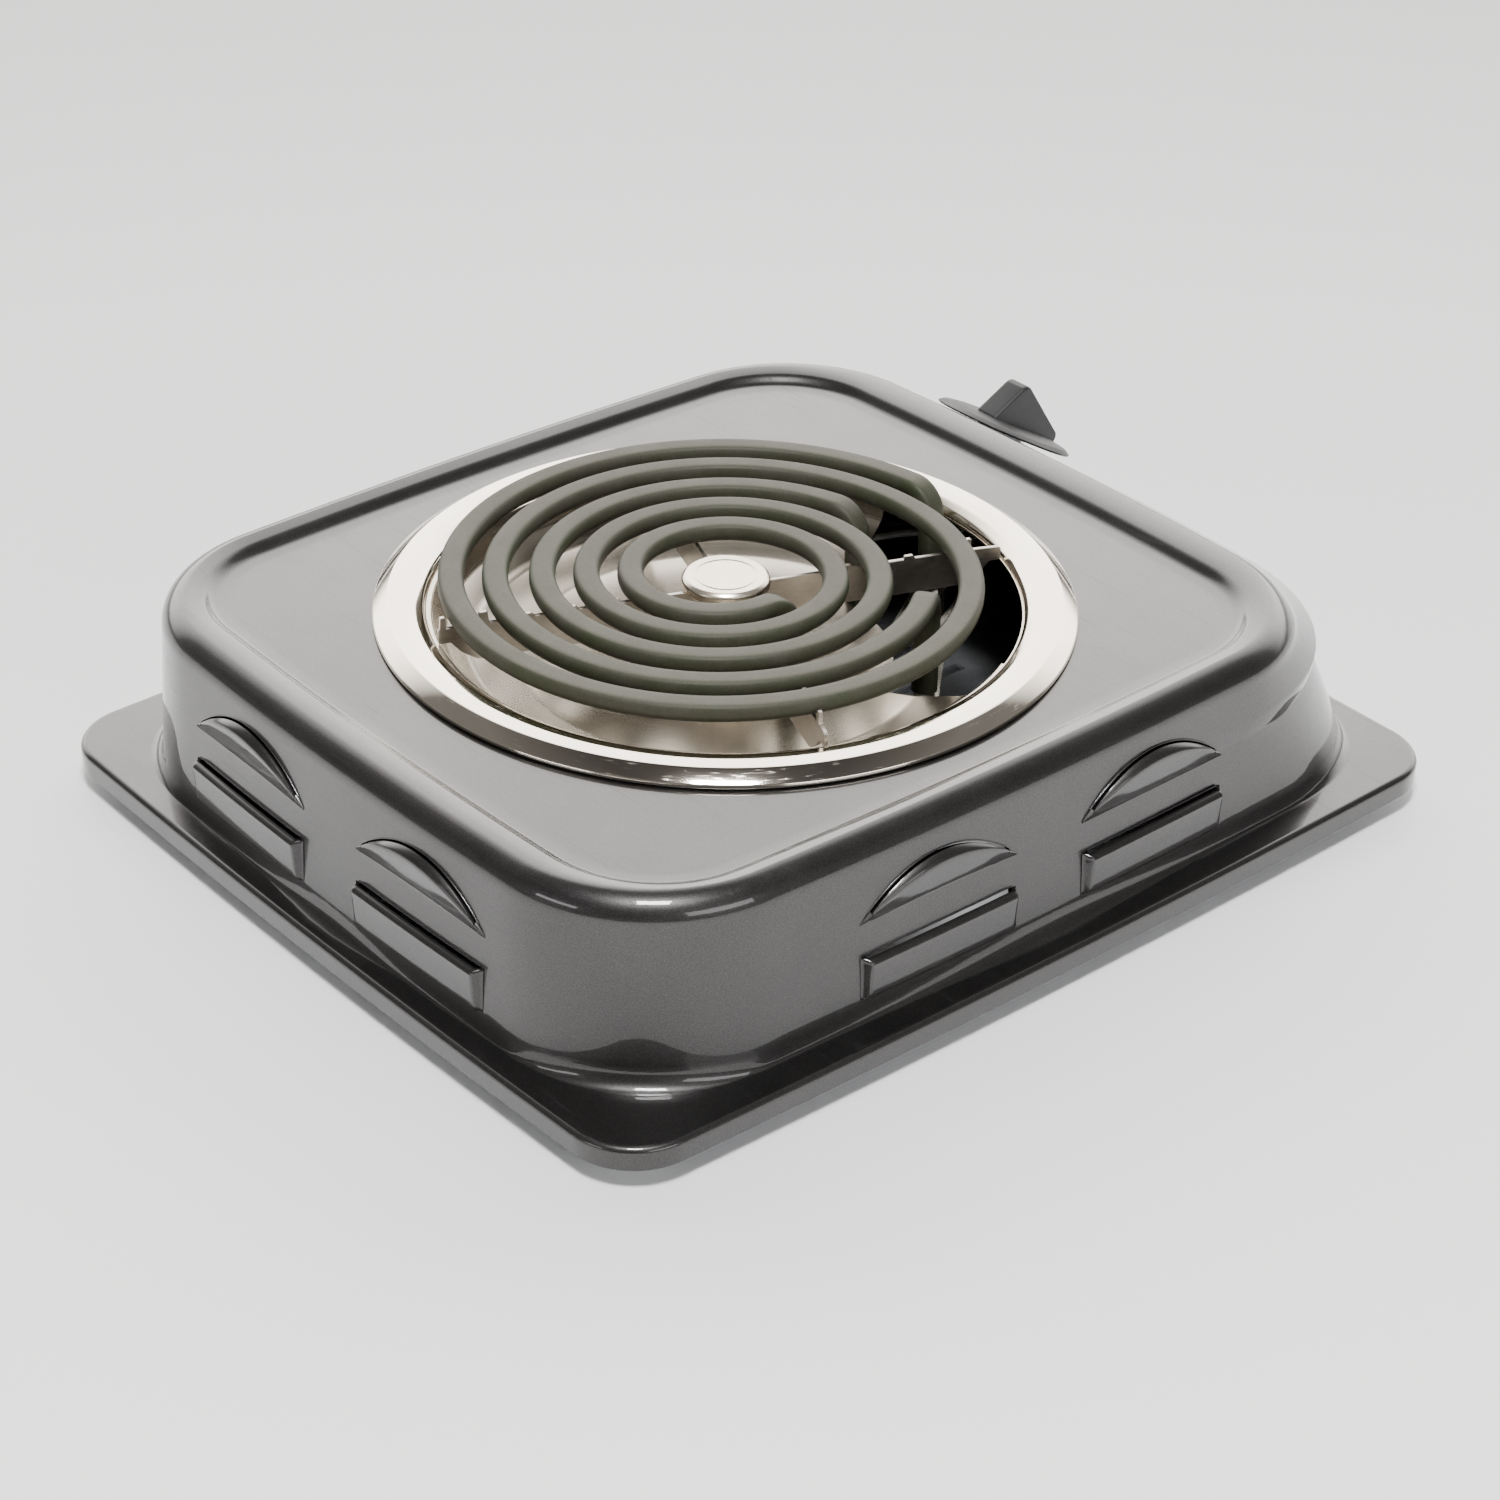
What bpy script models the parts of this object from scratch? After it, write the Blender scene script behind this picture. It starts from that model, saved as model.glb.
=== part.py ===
"""Single-coil hot plate burner: pressed steel housing, chrome trim ring, drip pan, twin coil, spider, rotary switch.

Lengths in the named dimensions are millimetres. Heights are measured from the lower edge of the housing's lip,
and ORIGIN_SHIFT lifts them onto the floor that the rubber feet stand on. The controls face -Y.
"""

import math

import bmesh
import bpy
from mathutils import Matrix, Vector

MM = 0.001
FOOT_DROP = 6.0              # the feet hold the lip this far off the table
CENTRE_SHIFT_Y = 3.54        # puts the middle of the whole bounding box, knob included, on the origin
ORIGIN_SHIFT = Vector((0.0, CENTRE_SHIFT_Y, FOOT_DROP))
GAP = 0.3                    # clearance left between touching pieces

# Housing
SHEET = 1.0                  # pressed steel thickness
FLANGE_X = 131.8             # half width of the base flange
FLANGE_Y = 151.9             # half depth of the base flange
FLANGE_R = 20.0
FLANGE_TOP = 6.7
FLANGE_BOW = 1.9
BODY_X = 119.5               # half width of the body under its top fillet
BODY_BACK = 141.9
BODY_FRONT = -124.3
BODY_R = 49.8
BODY_BOW = 1.7
RIM_Z = 59.5
RIM_FILLET = 7.7
DRAFT = math.tan(math.radians(3.35))
WALL_FOOT = 12.7             # height where the wall turns out into the flange
PANEL_X = 106.8              # recessed top panel
PANEL_Y = 117.0
PANEL_CY = 9.75
PANEL_R = 34.3
PANEL_Z = 56.0
STEP_TOP = 58.6
CORNER_STEPS = 6
SIDE_STEPS = 8

# Sloped control panel along the front
SLOPE_TOP = (-124.0, 54.0)   # where the panel leaves the body's front, as (y, z)
SLOPE_ANGLE = math.radians(30.0)
SLOPE_END_Z = 41.3
SHELF_FRONT = -149.0
SHELF_ROUND = 5.5
FLARE_R = 25.0               # extra corner radius at the foot of the slope

# Hob well
HOB = (0.0, 9.8)             # axis of the trim ring and the pan
WELL_R = 87.0
RING_OUT = 98.5
RING_IN = 83.4
PAN_FLANGE_R = 96.0

# Coil
COIL = (0.0, 11.2)
TUBE_W = 7.4
TUBE_H = 6.0
COIL_Z = 65.2
PITCH = 12.3
OUTER_START_R = 80.0         # radius of the outer element's first turn at OUTER_FROM
OUTER_FROM = -84.0
OUTER_TO = 575.0
INNER_START_R = 54.4
INNER_FROM = -77.0
INNER_TO = 896.0
LEG_END_Z = 34.0

# Spider
STRIP = 1.2
ARM_LOW = 51.0
ARM_TOP = 61.9
TAB_TOP = 65.4
ARM_ANGLES = (158.5, 248.5)

# Control
KNOB_X = 44.0
KNOB_DOWN = 17.5             # distance of the axis from the top of the slope
SKIRT_R = 22.4
KNOB_GAP = 1.8               # from the frame of the control to the knob's underside
GRIP_HALF = 4.2              # half thickness of the pointer-shaped grip
GRIP_PROFILE = ((10.7, 3.6), (10.7, 4.6), (3.2, 16.2), (2.0, 17.1), (0.6, 17.1), (-20.9, 6.2), (-21.3, 5.6),
                (-21.3, 2.0))   # its side view as (up the slope, off the face)

VENT_W = 27.0                # half width of a louvre
VENT_ARC = 12.5
VENT_CHORD_Z = 35.5
VENT_TAB_TOP = 26.0
VENT_TAB_LOW = 13.4
VENT_PROUD = 3.0
VENT_CENTRES = (-39.0, 39.0)

FOOT_X = 106.0
FOOT_Y = 126.0
PLATE_Z = 1.2
PLATE_T = 1.0


def clear_scene():
    for obj in list(bpy.data.objects):
        bpy.data.objects.remove(obj, do_unlink=True)


def material(name, colour, metallic, roughness):
    mat = bpy.data.materials.new(name)
    mat.use_nodes = True
    shader = mat.node_tree.nodes["Principled BSDF"]
    shader.inputs["Base Color"].default_value = (*colour, 1.0)
    shader.inputs["Metallic"].default_value = metallic
    shader.inputs["Roughness"].default_value = roughness
    mat.diffuse_color = (*colour, 1.0)
    return mat


def to_object(name, points, faces, colour, metallic=0.0, roughness=0.5, pivot=None, hidden=False):
    """Makes one object from points in millimetres. With a pivot, the object's origin lies on that point."""
    origin = (pivot if pivot is not None else Vector((0, 0, 0)) - ORIGIN_SHIFT) + ORIGIN_SHIFT
    mesh = bpy.data.meshes.new(name)
    mesh.from_pydata([((Vector(p) + ORIGIN_SHIFT) - origin) * MM for p in points], [], faces)
    work = bmesh.new()
    work.from_mesh(mesh)
    bmesh.ops.remove_doubles(work, verts=work.verts, dist=1e-7)
    bmesh.ops.dissolve_degenerate(work, dist=1e-7, edges=work.edges)
    loose = [edge for edge in work.edges if not edge.link_faces]
    bmesh.ops.delete(work, geom=loose, context="EDGES")
    bmesh.ops.recalc_face_normals(work, faces=work.faces)
    work.to_mesh(mesh)
    work.free()
    mesh.shade_smooth()
    mesh.set_sharp_from_angle(angle=math.radians(35))
    obj = bpy.data.objects.new(name, mesh)
    obj.location = origin * MM
    bpy.context.scene.collection.objects.link(obj)
    mesh.materials.append(material(name + "_mat", colour, metallic, roughness))
    if hidden:
        obj.hide_render = True
        obj.display_type = "WIRE"
    return obj


def loft(rings, wrap=False):
    """Skins a list of rings that hold equally many points. wrap joins the last ring to the first."""
    count = len(rings[0])
    points = [p for ring in rings for p in ring]
    faces = []
    last = len(rings) if wrap else len(rings) - 1
    for i in range(last):
        a = i * count
        b = ((i + 1) % len(rings)) * count
        for j in range(count):
            k = (j + 1) % count
            faces.append((a + j, a + k, b + k, b + j))
    if not wrap:
        faces.append(tuple(range(count))[::-1])
        faces.append(tuple((len(rings) - 1) * count + j for j in range(count)))
    return points, faces


def merge(*shapes):
    """Puts several closed bodies into one list of points and faces."""
    points = []
    faces = []
    for some_points, some_faces in shapes:
        base = len(points)
        points.extend(some_points)
        faces.extend(tuple(base + i for i in face) for face in some_faces)
    return points, faces


def lathe(profile, steps, place=None):
    """Turns a closed (radius, height) profile about Z, then moves it by the matrix place."""
    place = place or Matrix.Identity(4)
    rings = []
    for i in range(steps):
        turn = 2 * math.pi * i / steps
        rings.append([place @ Vector((r * math.cos(turn), r * math.sin(turn), z)) for r, z in profile])
    return loft(rings, wrap=True)


def prism(outline, low, high, place=None):
    """A flat outline in X and Y, thickened from low to high along Z."""
    place = place or Matrix.Identity(4)
    return loft([[place @ Vector((x, y, z)) for x, y in outline] for z in (low, high)])


def circle(radius, steps, centre=(0.0, 0.0), start=0.0):
    turn = 2 * math.pi / steps
    return [
        (centre[0] + radius * math.cos(start + turn * i), centre[1] + radius * math.sin(start + turn * i))
        for i in range(steps)
    ]


def block(x0, x1, y0, y1):
    return [(x0, y0), (x1, y0), (x1, y1), (x0, y1)]


def sweep(path, section, start_side, level=False):
    """Carries a section along a path. Its first axis starts along start_side, and with level it stays horizontal."""
    rings = []
    side = Vector(start_side)
    for i, point in enumerate(path):
        ahead = path[min(i + 1, len(path) - 1)] - path[max(i - 1, 0)]
        ahead.normalize()
        if level and abs(ahead.z) < 0.5:
            side = ahead.cross(Vector((0.0, 0.0, 1.0)))
        side = (side - ahead * side.dot(ahead)).normalized()
        other = ahead.cross(side)
        rings.append([point + side * a + other * b for a, b in section])
    return loft(rings)


def smooth_path(knots, per_span):
    """A Catmull-Rom curve through the knots."""
    knots = [Vector(k) for k in knots]
    ends = [knots[0] * 2 - knots[1]] + knots + [knots[-1] * 2 - knots[-2]]
    path = []
    for i in range(len(knots) - 1):
        p0, p1, p2, p3 = ends[i:i + 4]
        for j in range(per_span):
            t = j / per_span
            path.append(
                0.5 * (2 * p1 + (p2 - p0) * t + (2 * p0 - 5 * p1 + 4 * p2 - p3) * t * t
                       + (3 * p1 - p0 - 3 * p2 + p3) * t * t * t)
            )
    path.append(knots[-1])
    return path


def boolean(target, tool, operation):
    step = target.modifiers.new(operation.lower(), "BOOLEAN")
    step.operation = operation
    step.solver = "EXACT"
    step.object = tool
    return step


def rounded(half_x, back, front, r_back, r_front, bow, z):
    """One ring: a rectangle with bowed sides and round corners, counter-clockwise from the +X side."""
    points = []
    corners = (
        (half_x - r_back, back - r_back, r_back, 0.0),
        (-half_x + r_back, back - r_back, r_back, 90.0),
        (-half_x + r_front, front + r_front, r_front, 180.0),
        (half_x - r_front, front + r_front, r_front, 270.0),
    )
    for index, (cx, cy, radius, first) in enumerate(corners):
        arc = []
        for i in range(CORNER_STEPS + 1):
            turn = math.radians(first + 90.0 * i / CORNER_STEPS)
            arc.append((cx + radius * math.cos(turn), cy + radius * math.sin(turn)))
        points.extend(arc)
        nx, ny, n_radius, n_first = corners[(index + 1) % 4]
        turn = math.radians(n_first)
        end = (nx + n_radius * math.cos(turn), ny + n_radius * math.sin(turn))
        for i in range(1, SIDE_STEPS + 1):
            t = i / (SIDE_STEPS + 1)
            out = math.radians(first + 90.0)
            lift = bow * (1 - (2 * t - 1) ** 2)
            points.append((
                arc[-1][0] + (end[0] - arc[-1][0]) * t + lift * math.cos(out),
                arc[-1][1] + (end[1] - arc[-1][1]) * t + lift * math.sin(out),
            ))
    return [(x, y, z) for x, y in points]


def well_ring(radius, z, like):
    """A circle about the hob's axis, with its points in line with those of the ring `like`."""
    ring = []
    for x, y, _ in like:
        away = Vector((x - HOB[0], y - HOB[1])).normalized() * radius
        ring.append((HOB[0] + away.x, HOB[1] + away.y, z))
    return ring


def front_at(z):
    """How far forward the front surface stands at a height: rim fillet, slope, then the upright shelf."""
    if z > SLOPE_TOP[1]:
        rise = min(max((z - RIM_Z + RIM_FILLET) / RIM_FILLET, 0.0), 1.0)
        return BODY_FRONT + RIM_FILLET - RIM_FILLET * math.sqrt(1.0 - rise * rise)
    if z > SLOPE_END_Z:
        return SLOPE_TOP[0] - (SLOPE_TOP[1] - z) / math.tan(SLOPE_ANGLE)
    end = SLOPE_TOP[0] - (SLOPE_TOP[1] - SLOPE_END_Z) / math.tan(SLOPE_ANGLE)
    t = min((SLOPE_END_Z - z) / SHELF_ROUND, 1.0)
    return end + (SHELF_FRONT - end) * math.sin(t * math.pi / 2) - max(SLOPE_END_Z - SHELF_ROUND - z, 0.0) * 0.06


def front_flare(z):
    """How much rounder the front corners are than the back ones. They are roundest where the slope ends."""
    middle = SLOPE_END_Z - SHELF_ROUND
    if z > middle:
        return FLARE_R * max(SLOPE_TOP[1] - z, 0.0) / (SLOPE_TOP[1] - middle)
    return FLARE_R * max(z - FLANGE_TOP, 0.0) / (middle - FLANGE_TOP)


def body_ring(z, inward=0.0, drop=0.0):
    """The body's outline at a height on its wall, moved inward by the sheet thickness for the inside face."""
    if z > RIM_Z - RIM_FILLET:
        bend = math.acos(min(max((z - RIM_Z + RIM_FILLET) / RIM_FILLET, 0.0), 1.0))
        out = -RIM_FILLET + RIM_FILLET * math.sin(bend)
    else:
        out = (RIM_Z - RIM_FILLET - z) * DRAFT
    front = front_at(z)
    r_front = BODY_R + out + front_flare(z)
    return rounded(BODY_X + out - inward, BODY_BACK + out - inward, front + inward, BODY_R + out - inward,
                   r_front - inward, BODY_BOW, z - drop)


def flange_ring(inset, z, radius_cut=0.0):
    return rounded(FLANGE_X - inset, FLANGE_Y - inset, -FLANGE_Y + inset, FLANGE_R - inset - radius_cut,
                   FLANGE_R - inset - radius_cut, FLANGE_BOW, z)


def blend_rings(a, b, t, z):
    return [(p[0] + (q[0] - p[0]) * t, p[1] + (q[1] - p[1]) * t, z) for p, q in zip(a, b)]


def housing_shell():
    """Outer skin from the hob well out and down to the lip, then the inner skin back up to the well."""
    panel = rounded(PANEL_X, PANEL_CY + PANEL_Y, PANEL_CY - PANEL_Y, PANEL_R, PANEL_R, BODY_BOW, PANEL_Z)
    wide = rounded(PANEL_X + 1.4, PANEL_CY + PANEL_Y + 1.4, PANEL_CY - PANEL_Y - 1.4, PANEL_R + 1.4,
                   PANEL_R + 1.4, BODY_BOW, STEP_TOP)
    rings = [well_ring(WELL_R, PANEL_Z, panel), panel, wide]
    for z in (RIM_Z, RIM_Z - 0.6, RIM_Z - 2.5, SLOPE_TOP[1], RIM_Z - RIM_FILLET, 47.0, SLOPE_END_Z, 39.8, 38.0,
              SLOPE_END_Z - SHELF_ROUND, 27.0, 20.0, WALL_FOOT):
        rings.append(body_ring(z))
    foot = body_ring(WALL_FOOT)
    edge = flange_ring(1.8, FLANGE_TOP)
    rings.append(blend_rings(foot, edge, 0.18, WALL_FOOT - 3.2))
    rings.append(blend_rings(foot, edge, 0.5, FLANGE_TOP + 0.7))
    rings.append(edge)
    rings.append(flange_ring(0.5, FLANGE_TOP - 0.6))
    rings.append(flange_ring(0.0, FLANGE_TOP - 2.0))
    rings.append(flange_ring(0.0, 0.0))
    rings.append(flange_ring(SHEET, 0.0))
    rings.append(flange_ring(SHEET, FLANGE_TOP - 2.2))
    rings.append(flange_ring(2.2, FLANGE_TOP - SHEET))
    rings.append(blend_rings(body_ring(WALL_FOOT, SHEET), edge, 0.5, FLANGE_TOP - 0.5))
    for z in (WALL_FOOT - 0.5, 27.0, SLOPE_END_Z - SHELF_ROUND, 38.0, SLOPE_END_Z - 0.6, 47.0, 52.8, 55.6):
        rings.append(body_ring(z, SHEET + (0.35 if z > 36 else 0.0)))
    rings.append(rounded(PANEL_X + 1.0, PANEL_CY + PANEL_Y + 1.0, PANEL_CY - PANEL_Y - 1.0, PANEL_R + 1.0,
                         PANEL_R + 1.0, BODY_BOW, STEP_TOP - SHEET))
    rings.append(rounded(PANEL_X - 1.2, PANEL_CY + PANEL_Y - 1.2, PANEL_CY - PANEL_Y + 1.2, PANEL_R - 1.2,
                         PANEL_R - 1.2, BODY_BOW, PANEL_Z - SHEET))
    rings.append(well_ring(WELL_R, PANEL_Z - SHEET, panel))
    return loft(rings, wrap=True)


def wall_point(side, along, z, out):
    """A point `out` millimetres off the wall. Sides: back is +Y, left is -X, right is +X."""
    draft = (RIM_Z - RIM_FILLET - z) * DRAFT
    if side == "back":
        reach = BODY_X - BODY_R
        return Vector((-along, BODY_BACK + draft + BODY_BOW * (1 - (along / reach) ** 2) + out, z))
    middle = (BODY_BACK + front_at(z)) / 2
    reach = (BODY_BACK - front_at(z)) / 2 - BODY_R
    lift = BODY_BOW * (1 - min(((along + 1.0 - middle) / reach) ** 2, 1.0))
    x = BODY_X + draft + lift + out
    return Vector((-x if side == "left" else x, along + 1.0, z))


def hood(side, centre, rows, half_width, stations):
    """A pressed-out hood: rows of (height at its ends, rise at mid span, standing out), closed behind."""
    rings = []
    steps = len(stations) - 1
    for base, rise, out in rows:
        ring = []
        for s in stations:
            z = base + rise * (1 - 0.92 * s * s)
            ring.append((s * half_width, z, out * (1 - 0.75 * max(abs(s) - 0.8, 0.0) / 0.2)))
        rings.append(ring)
    points = []
    faces = []
    across = steps + 1
    for ring in rings:
        points.extend(wall_point(side, centre + a, z, out) for a, z, out in ring)
    front = len(points)
    for ring in rings[:-1]:
        points.extend(wall_point(side, centre + a, z, -0.55) for a, z, _ in ring)
    for (a, z, _), (_, under, _) in zip(rings[-1], rings[-2]):
        points.append(wall_point(side, centre + a, z * 0.7 + under * 0.3, -0.55))
    for r in range(len(rings) - 1):
        for i in range(steps):
            a = r * across + i
            faces.append((a, a + 1, a + across + 1, a + across))
            b = front + a
            faces.append((b, b + across, b + across + 1, b + 1))
        for i in (0, steps):
            a = r * across + i
            faces.append((a, a + across, front + a + across, front + a))
    top = (len(rings) - 1) * across
    for i in range(steps):
        faces.append((i, front + i, front + i + 1, i + 1))
        faces.append((top + i, top + i + 1, front + top + i + 1, front + top + i))
    return points, faces


def slot(side, centre, low, rise, high, half_width, inside, outside):
    """The opening behind a hood's lip, right through the wall."""
    steps = 8 if rise else 2
    rings = []
    for i in range(steps + 1):
        s = -1 + 2 * i / steps
        lift = rise * (1 - s * s)
        a = centre + s * half_width
        rings.append([
            wall_point(side, a, low + lift, inside),
            wall_point(side, a, low + lift, outside),
            wall_point(side, a, high + lift, outside),
            wall_point(side, a, high + lift, inside),
        ])
    return loft(rings)


def louvres():
    """Two pairs on the back and on each side: a half-moon hood above a straight one, both open along the top."""
    hoods = []
    slots = []
    arched = [-1 + 2 * i / 10 for i in range(11)]
    straight = [-1.0, -0.95, 0.0, 0.95, 1.0]
    p = VENT_PROUD
    arc = VENT_ARC
    for side in ("back", "left", "right"):
        for centre in VENT_CENTRES:
            hoods.append(hood(side, centre, (
                (VENT_CHORD_Z, 0.0, -0.15), (VENT_CHORD_Z, arc * 0.6, p * 0.75), (VENT_CHORD_Z, arc * 0.86, p),
                (VENT_CHORD_Z, arc * 0.96, p * 0.85), (VENT_CHORD_Z, arc, p * 0.5),
            ), VENT_W, arched))
            tab = VENT_TAB_TOP - VENT_TAB_LOW
            hoods.append(hood(side, centre, (
                (VENT_TAB_LOW, 0.0, 0.2), (VENT_TAB_LOW + tab * 0.6, 0.0, p * 0.7),
                (VENT_TAB_TOP - 2.2, 0.0, p), (VENT_TAB_TOP - 0.8, 0.0, p * 0.9), (VENT_TAB_TOP, 0.0, p * 0.5),
            ), VENT_W, straight))
            slots.append(slot(side, centre, VENT_CHORD_Z - 2.4, arc - 0.2, VENT_CHORD_Z + 0.5, VENT_W * 0.84,
                              -3.0, 1.1))
            slots.append(slot(side, centre, VENT_TAB_TOP - 2.6, 0.0, VENT_TAB_TOP + 0.3, VENT_W * 0.92, -3.0, 1.1))
    return merge(*hoods), merge(*slots)


def control_place(distance):
    """A frame on the knob's axis, its Z out of the sloped panel, `distance` millimetres off the sheet's face."""
    out = Vector((0.0, -math.sin(SLOPE_ANGLE), math.cos(SLOPE_ANGLE)))
    down = Vector((0.0, -math.cos(SLOPE_ANGLE), -math.sin(SLOPE_ANGLE)))
    foot = Vector((KNOB_X, SLOPE_TOP[0], SLOPE_TOP[1])) + down * KNOB_DOWN + out * (distance + 0.9)
    across = Vector((1.0, 0.0, 0.0))
    up = -down
    place = Matrix((across, up, out)).transposed().to_4x4()
    place.translation = foot
    return place


def housing():
    steel = (0.32, 0.31, 0.31)
    shell = to_object("housing", *housing_shell(), steel, 0.6, 0.35)
    hoods, slots = louvres()
    hood_tool = to_object("housing_hoods", *hoods, steel, hidden=True)
    slot_tool = to_object("housing_slots", *slots, steel, hidden=True)
    holes = merge(
        prism(circle(5.3, 20), -8.0, 8.0, control_place(0.0)),
        prism(circle(7.3, 24), -6.0, 6.0, grommet_place()),
    )
    hole_tool = to_object("housing_holes", *holes, steel, hidden=True)
    boolean(shell, hood_tool, "UNION")
    boolean(shell, slot_tool, "DIFFERENCE")
    boolean(shell, hole_tool, "DIFFERENCE")


def grommet_place():
    """The cord hole's frame in the right wall, its Z pointing out."""
    centre = wall_point("right", -1.0, 24.0, 0.0)
    place = Matrix(((0, 0, 1), (1, 0, 0), (0, 1, 0))).to_4x4()
    place.translation = centre
    return place


def hob_place(z=0.0):
    return Matrix.Translation((HOB[0], HOB[1], z))


def trim_ring():
    profile = [
        (RING_OUT - 0.8, 56.4), (RING_OUT, 56.4), (RING_OUT, 58.3), (97.4, 59.0), (95.0, 59.9), (91.5, 60.3),
        (88.0, 60.0), (85.2, 59.1), (RING_IN, 57.4), (RING_IN + 0.9, 57.4), (86.0, 58.6), (91.5, 59.5),
        (97.0, 58.3),
    ]
    to_object("trim_ring", *lathe(profile, 60, hob_place()), (0.8, 0.8, 0.8), 1.0, 0.08)


def drip_pan():
    t = 0.7
    top = [(PAN_FLANGE_R, 57.0), (81.6, 57.0), (80.6, 55.2), (78.6, 50.0), (72.0, 44.2), (58.0, 40.4), (34.0, 38.4),
           (12.0, 37.6)]
    low = [(12.0, 37.6 - t), (34.0, 38.4 - t), (58.2, 40.4 - t), (72.5, 44.2 - t), (79.3, 49.7), (81.3, 54.9),
           (82.1, 57.0 - t), (PAN_FLANGE_R, 57.0 - t)]
    steel = (0.62, 0.6, 0.57)
    pan = to_object("drip_pan", *lathe(top + low, 40, hob_place()), steel, 1.0, 0.25)
    window = [(47.5, a) for a in range(-154, -75, 6)] + [(83.0, a) for a in range(-76, -155, -6)]
    outline = [
        (HOB[0] + r * math.cos(math.radians(a)), HOB[1] + r * math.sin(math.radians(a))) for r, a in window
    ]
    inmost = leg(INNER_START_R, INNER_FROM, INNER_TO, 1)[-1]
    tools = merge(
        prism(outline, 30.0, 60.0),
        prism(circle(5.6, 16, (inmost.x, inmost.y)), 30.0, 45.0),
        prism(circle(2.6, 12, (-9.0, -30.0)), 30.0, 50.0),
    )
    cutter = to_object("drip_pan_cuts", *tools, steel, hidden=True)
    boolean(pan, cutter, "DIFFERENCE")


def turn_radius(start_r, start, angle):
    return start_r - PITCH * (angle - start) / 360.0


def spiral_point(start_r, start, angle, z=COIL_Z):
    r = turn_radius(start_r, start, angle)
    turn = math.radians(angle)
    return Vector((COIL[0] + r * math.cos(turn), COIL[1] + r * math.sin(turn), z))


def leg(start_r, start, angle, way):
    """The bend at one end of an element: from the spiral, a quarter turn down, then straight to the terminal."""
    bend = 7.5
    at = spiral_point(start_r, start, angle)
    ahead = spiral_point(start_r, start, angle + way * 1.0) - at
    ahead.normalize()
    points = []
    for i in range(1, 7):
        turn = math.pi / 2 * i / 6
        points.append(at + ahead * (bend * math.sin(turn)) - Vector((0, 0, bend * (1 - math.cos(turn)))))
    foot = points[-1]
    points.append(Vector((foot.x, foot.y, (foot.z + LEG_END_Z) / 2)))
    points.append(Vector((foot.x, foot.y, LEG_END_Z)))
    return points


def tube_section():
    """A round tube pressed flat on its top."""
    section = []
    for i in range(8):
        turn = 2 * math.pi * (i + 0.5) / 8
        a = TUBE_W / 2 * math.cos(turn)
        b = TUBE_H / 2 * math.sin(turn)
        section.append((a, b))
    return section


def element(name, start_r, start, end):
    first = leg(start_r, start, start, -1)
    last = leg(start_r, start, end, 1)
    turns = []
    steps = int((end - start) / 11)
    for i in range(steps + 1):
        turns.append(spiral_point(start_r, start, start + (end - start) * i / steps))
    path = first[::-1] + turns + last
    side = (path[8] - path[7]).cross(Vector((0.0, 0.0, 1.0)))
    to_object(name, *sweep(path, tube_section(), side, level=True), (0.16, 0.155, 0.13), 0.5, 0.6)
    return first[-1], last[-1]


def terminals(feet):
    """The ceramic seal and the spade pin at the foot of each element leg."""
    for number, foot in enumerate(feet, 1):
        place = Matrix.Translation((foot.x, foot.y, 0.0))
        top = LEG_END_Z - GAP
        seal = [(0.0, top), (2.6, top), (3.2, top - 1.0), (3.2, top - 4.0), (2.4, top - 5.0), (0.0, top - 5.0)]
        to_object(f"element_seal_{number}", *lathe(seal, 12, place), (0.85, 0.83, 0.78), 0.0, 0.6)
        low = top - 5.0 - GAP
        tab = prism(block(foot.x - 3.1, foot.x + 3.1, foot.y - 0.4, foot.y + 0.4), low - 8.0, low)
        to_object(f"element_terminal_{number}", *tab, (0.6, 0.58, 0.5), 1.0, 0.35)


def arm_strip(name, angle, slot_from_top):
    """One strip of the spider on its edge, with tabs between the turns and a half-lap slot at its middle."""
    turn = math.radians(angle)
    along = Vector((math.cos(turn), math.sin(turn), 0.0))
    hob = Vector((HOB[0], HOB[1], 0.0))
    reach = 82.7
    crossings = {1: [], -1: []}
    for way in (1, -1):
        for start_r, start, end in ((OUTER_START_R, OUTER_FROM, OUTER_TO), (INNER_START_R, INNER_FROM, INNER_TO)):
            at = angle if way == 1 else angle + 180.0
            at -= 720.0
            while at < end:
                if at > start - 3.0:
                    point = spiral_point(start_r, start, at)
                    crossings[way].append((point - hob).dot(along) * way)
                at += 360.0
        crossings[way].sort()
    half = {}
    for way in (1, -1):
        outline = []
        turns = crossings[way]
        marks = [(a + b) / 2 for a, b in zip(turns, turns[1:])]
        for mark in marks:
            outline += [(mark - 1.5, ARM_TOP), (mark - 1.2, TAB_TOP), (mark + 1.2, TAB_TOP), (mark + 1.5, ARM_TOP)]
        tip = turns[-1] + TUBE_W / 2 + 0.7
        if tip + 1.5 < reach:
            outline += [(tip, ARM_TOP), (tip + 0.1, TAB_TOP), (tip + 1.6, TAB_TOP), (tip + 1.8, ARM_TOP)]
        outline += [(reach, ARM_TOP - 0.4), (reach, 57.3), (79.4, 57.3), (76.4, 54.0), (72.0, ARM_LOW)]
        half[way] = outline
    lap = (ARM_LOW + ARM_TOP) / 2
    gap = STRIP / 2 + 0.2
    right = half[1]
    left = [(-x, z) for x, z in half[-1]][::-1]
    if slot_from_top:
        outline = [(gap, lap - 0.15), (gap, ARM_TOP)] + right + left + [(-gap, ARM_TOP), (-gap, lap - 0.15)]
    else:
        outline = right + [(gap, ARM_LOW), (gap, lap + 0.15), (-gap, lap + 0.15), (-gap, ARM_LOW)] + left
    place = Matrix((along, Vector((0, 0, 1)), along.cross(Vector((0, 0, 1))))).transposed().to_4x4()
    place.translation = hob
    to_object(name, *prism(outline, -STRIP / 2, STRIP / 2, place), (0.62, 0.6, 0.55), 1.0, 0.3)


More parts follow.
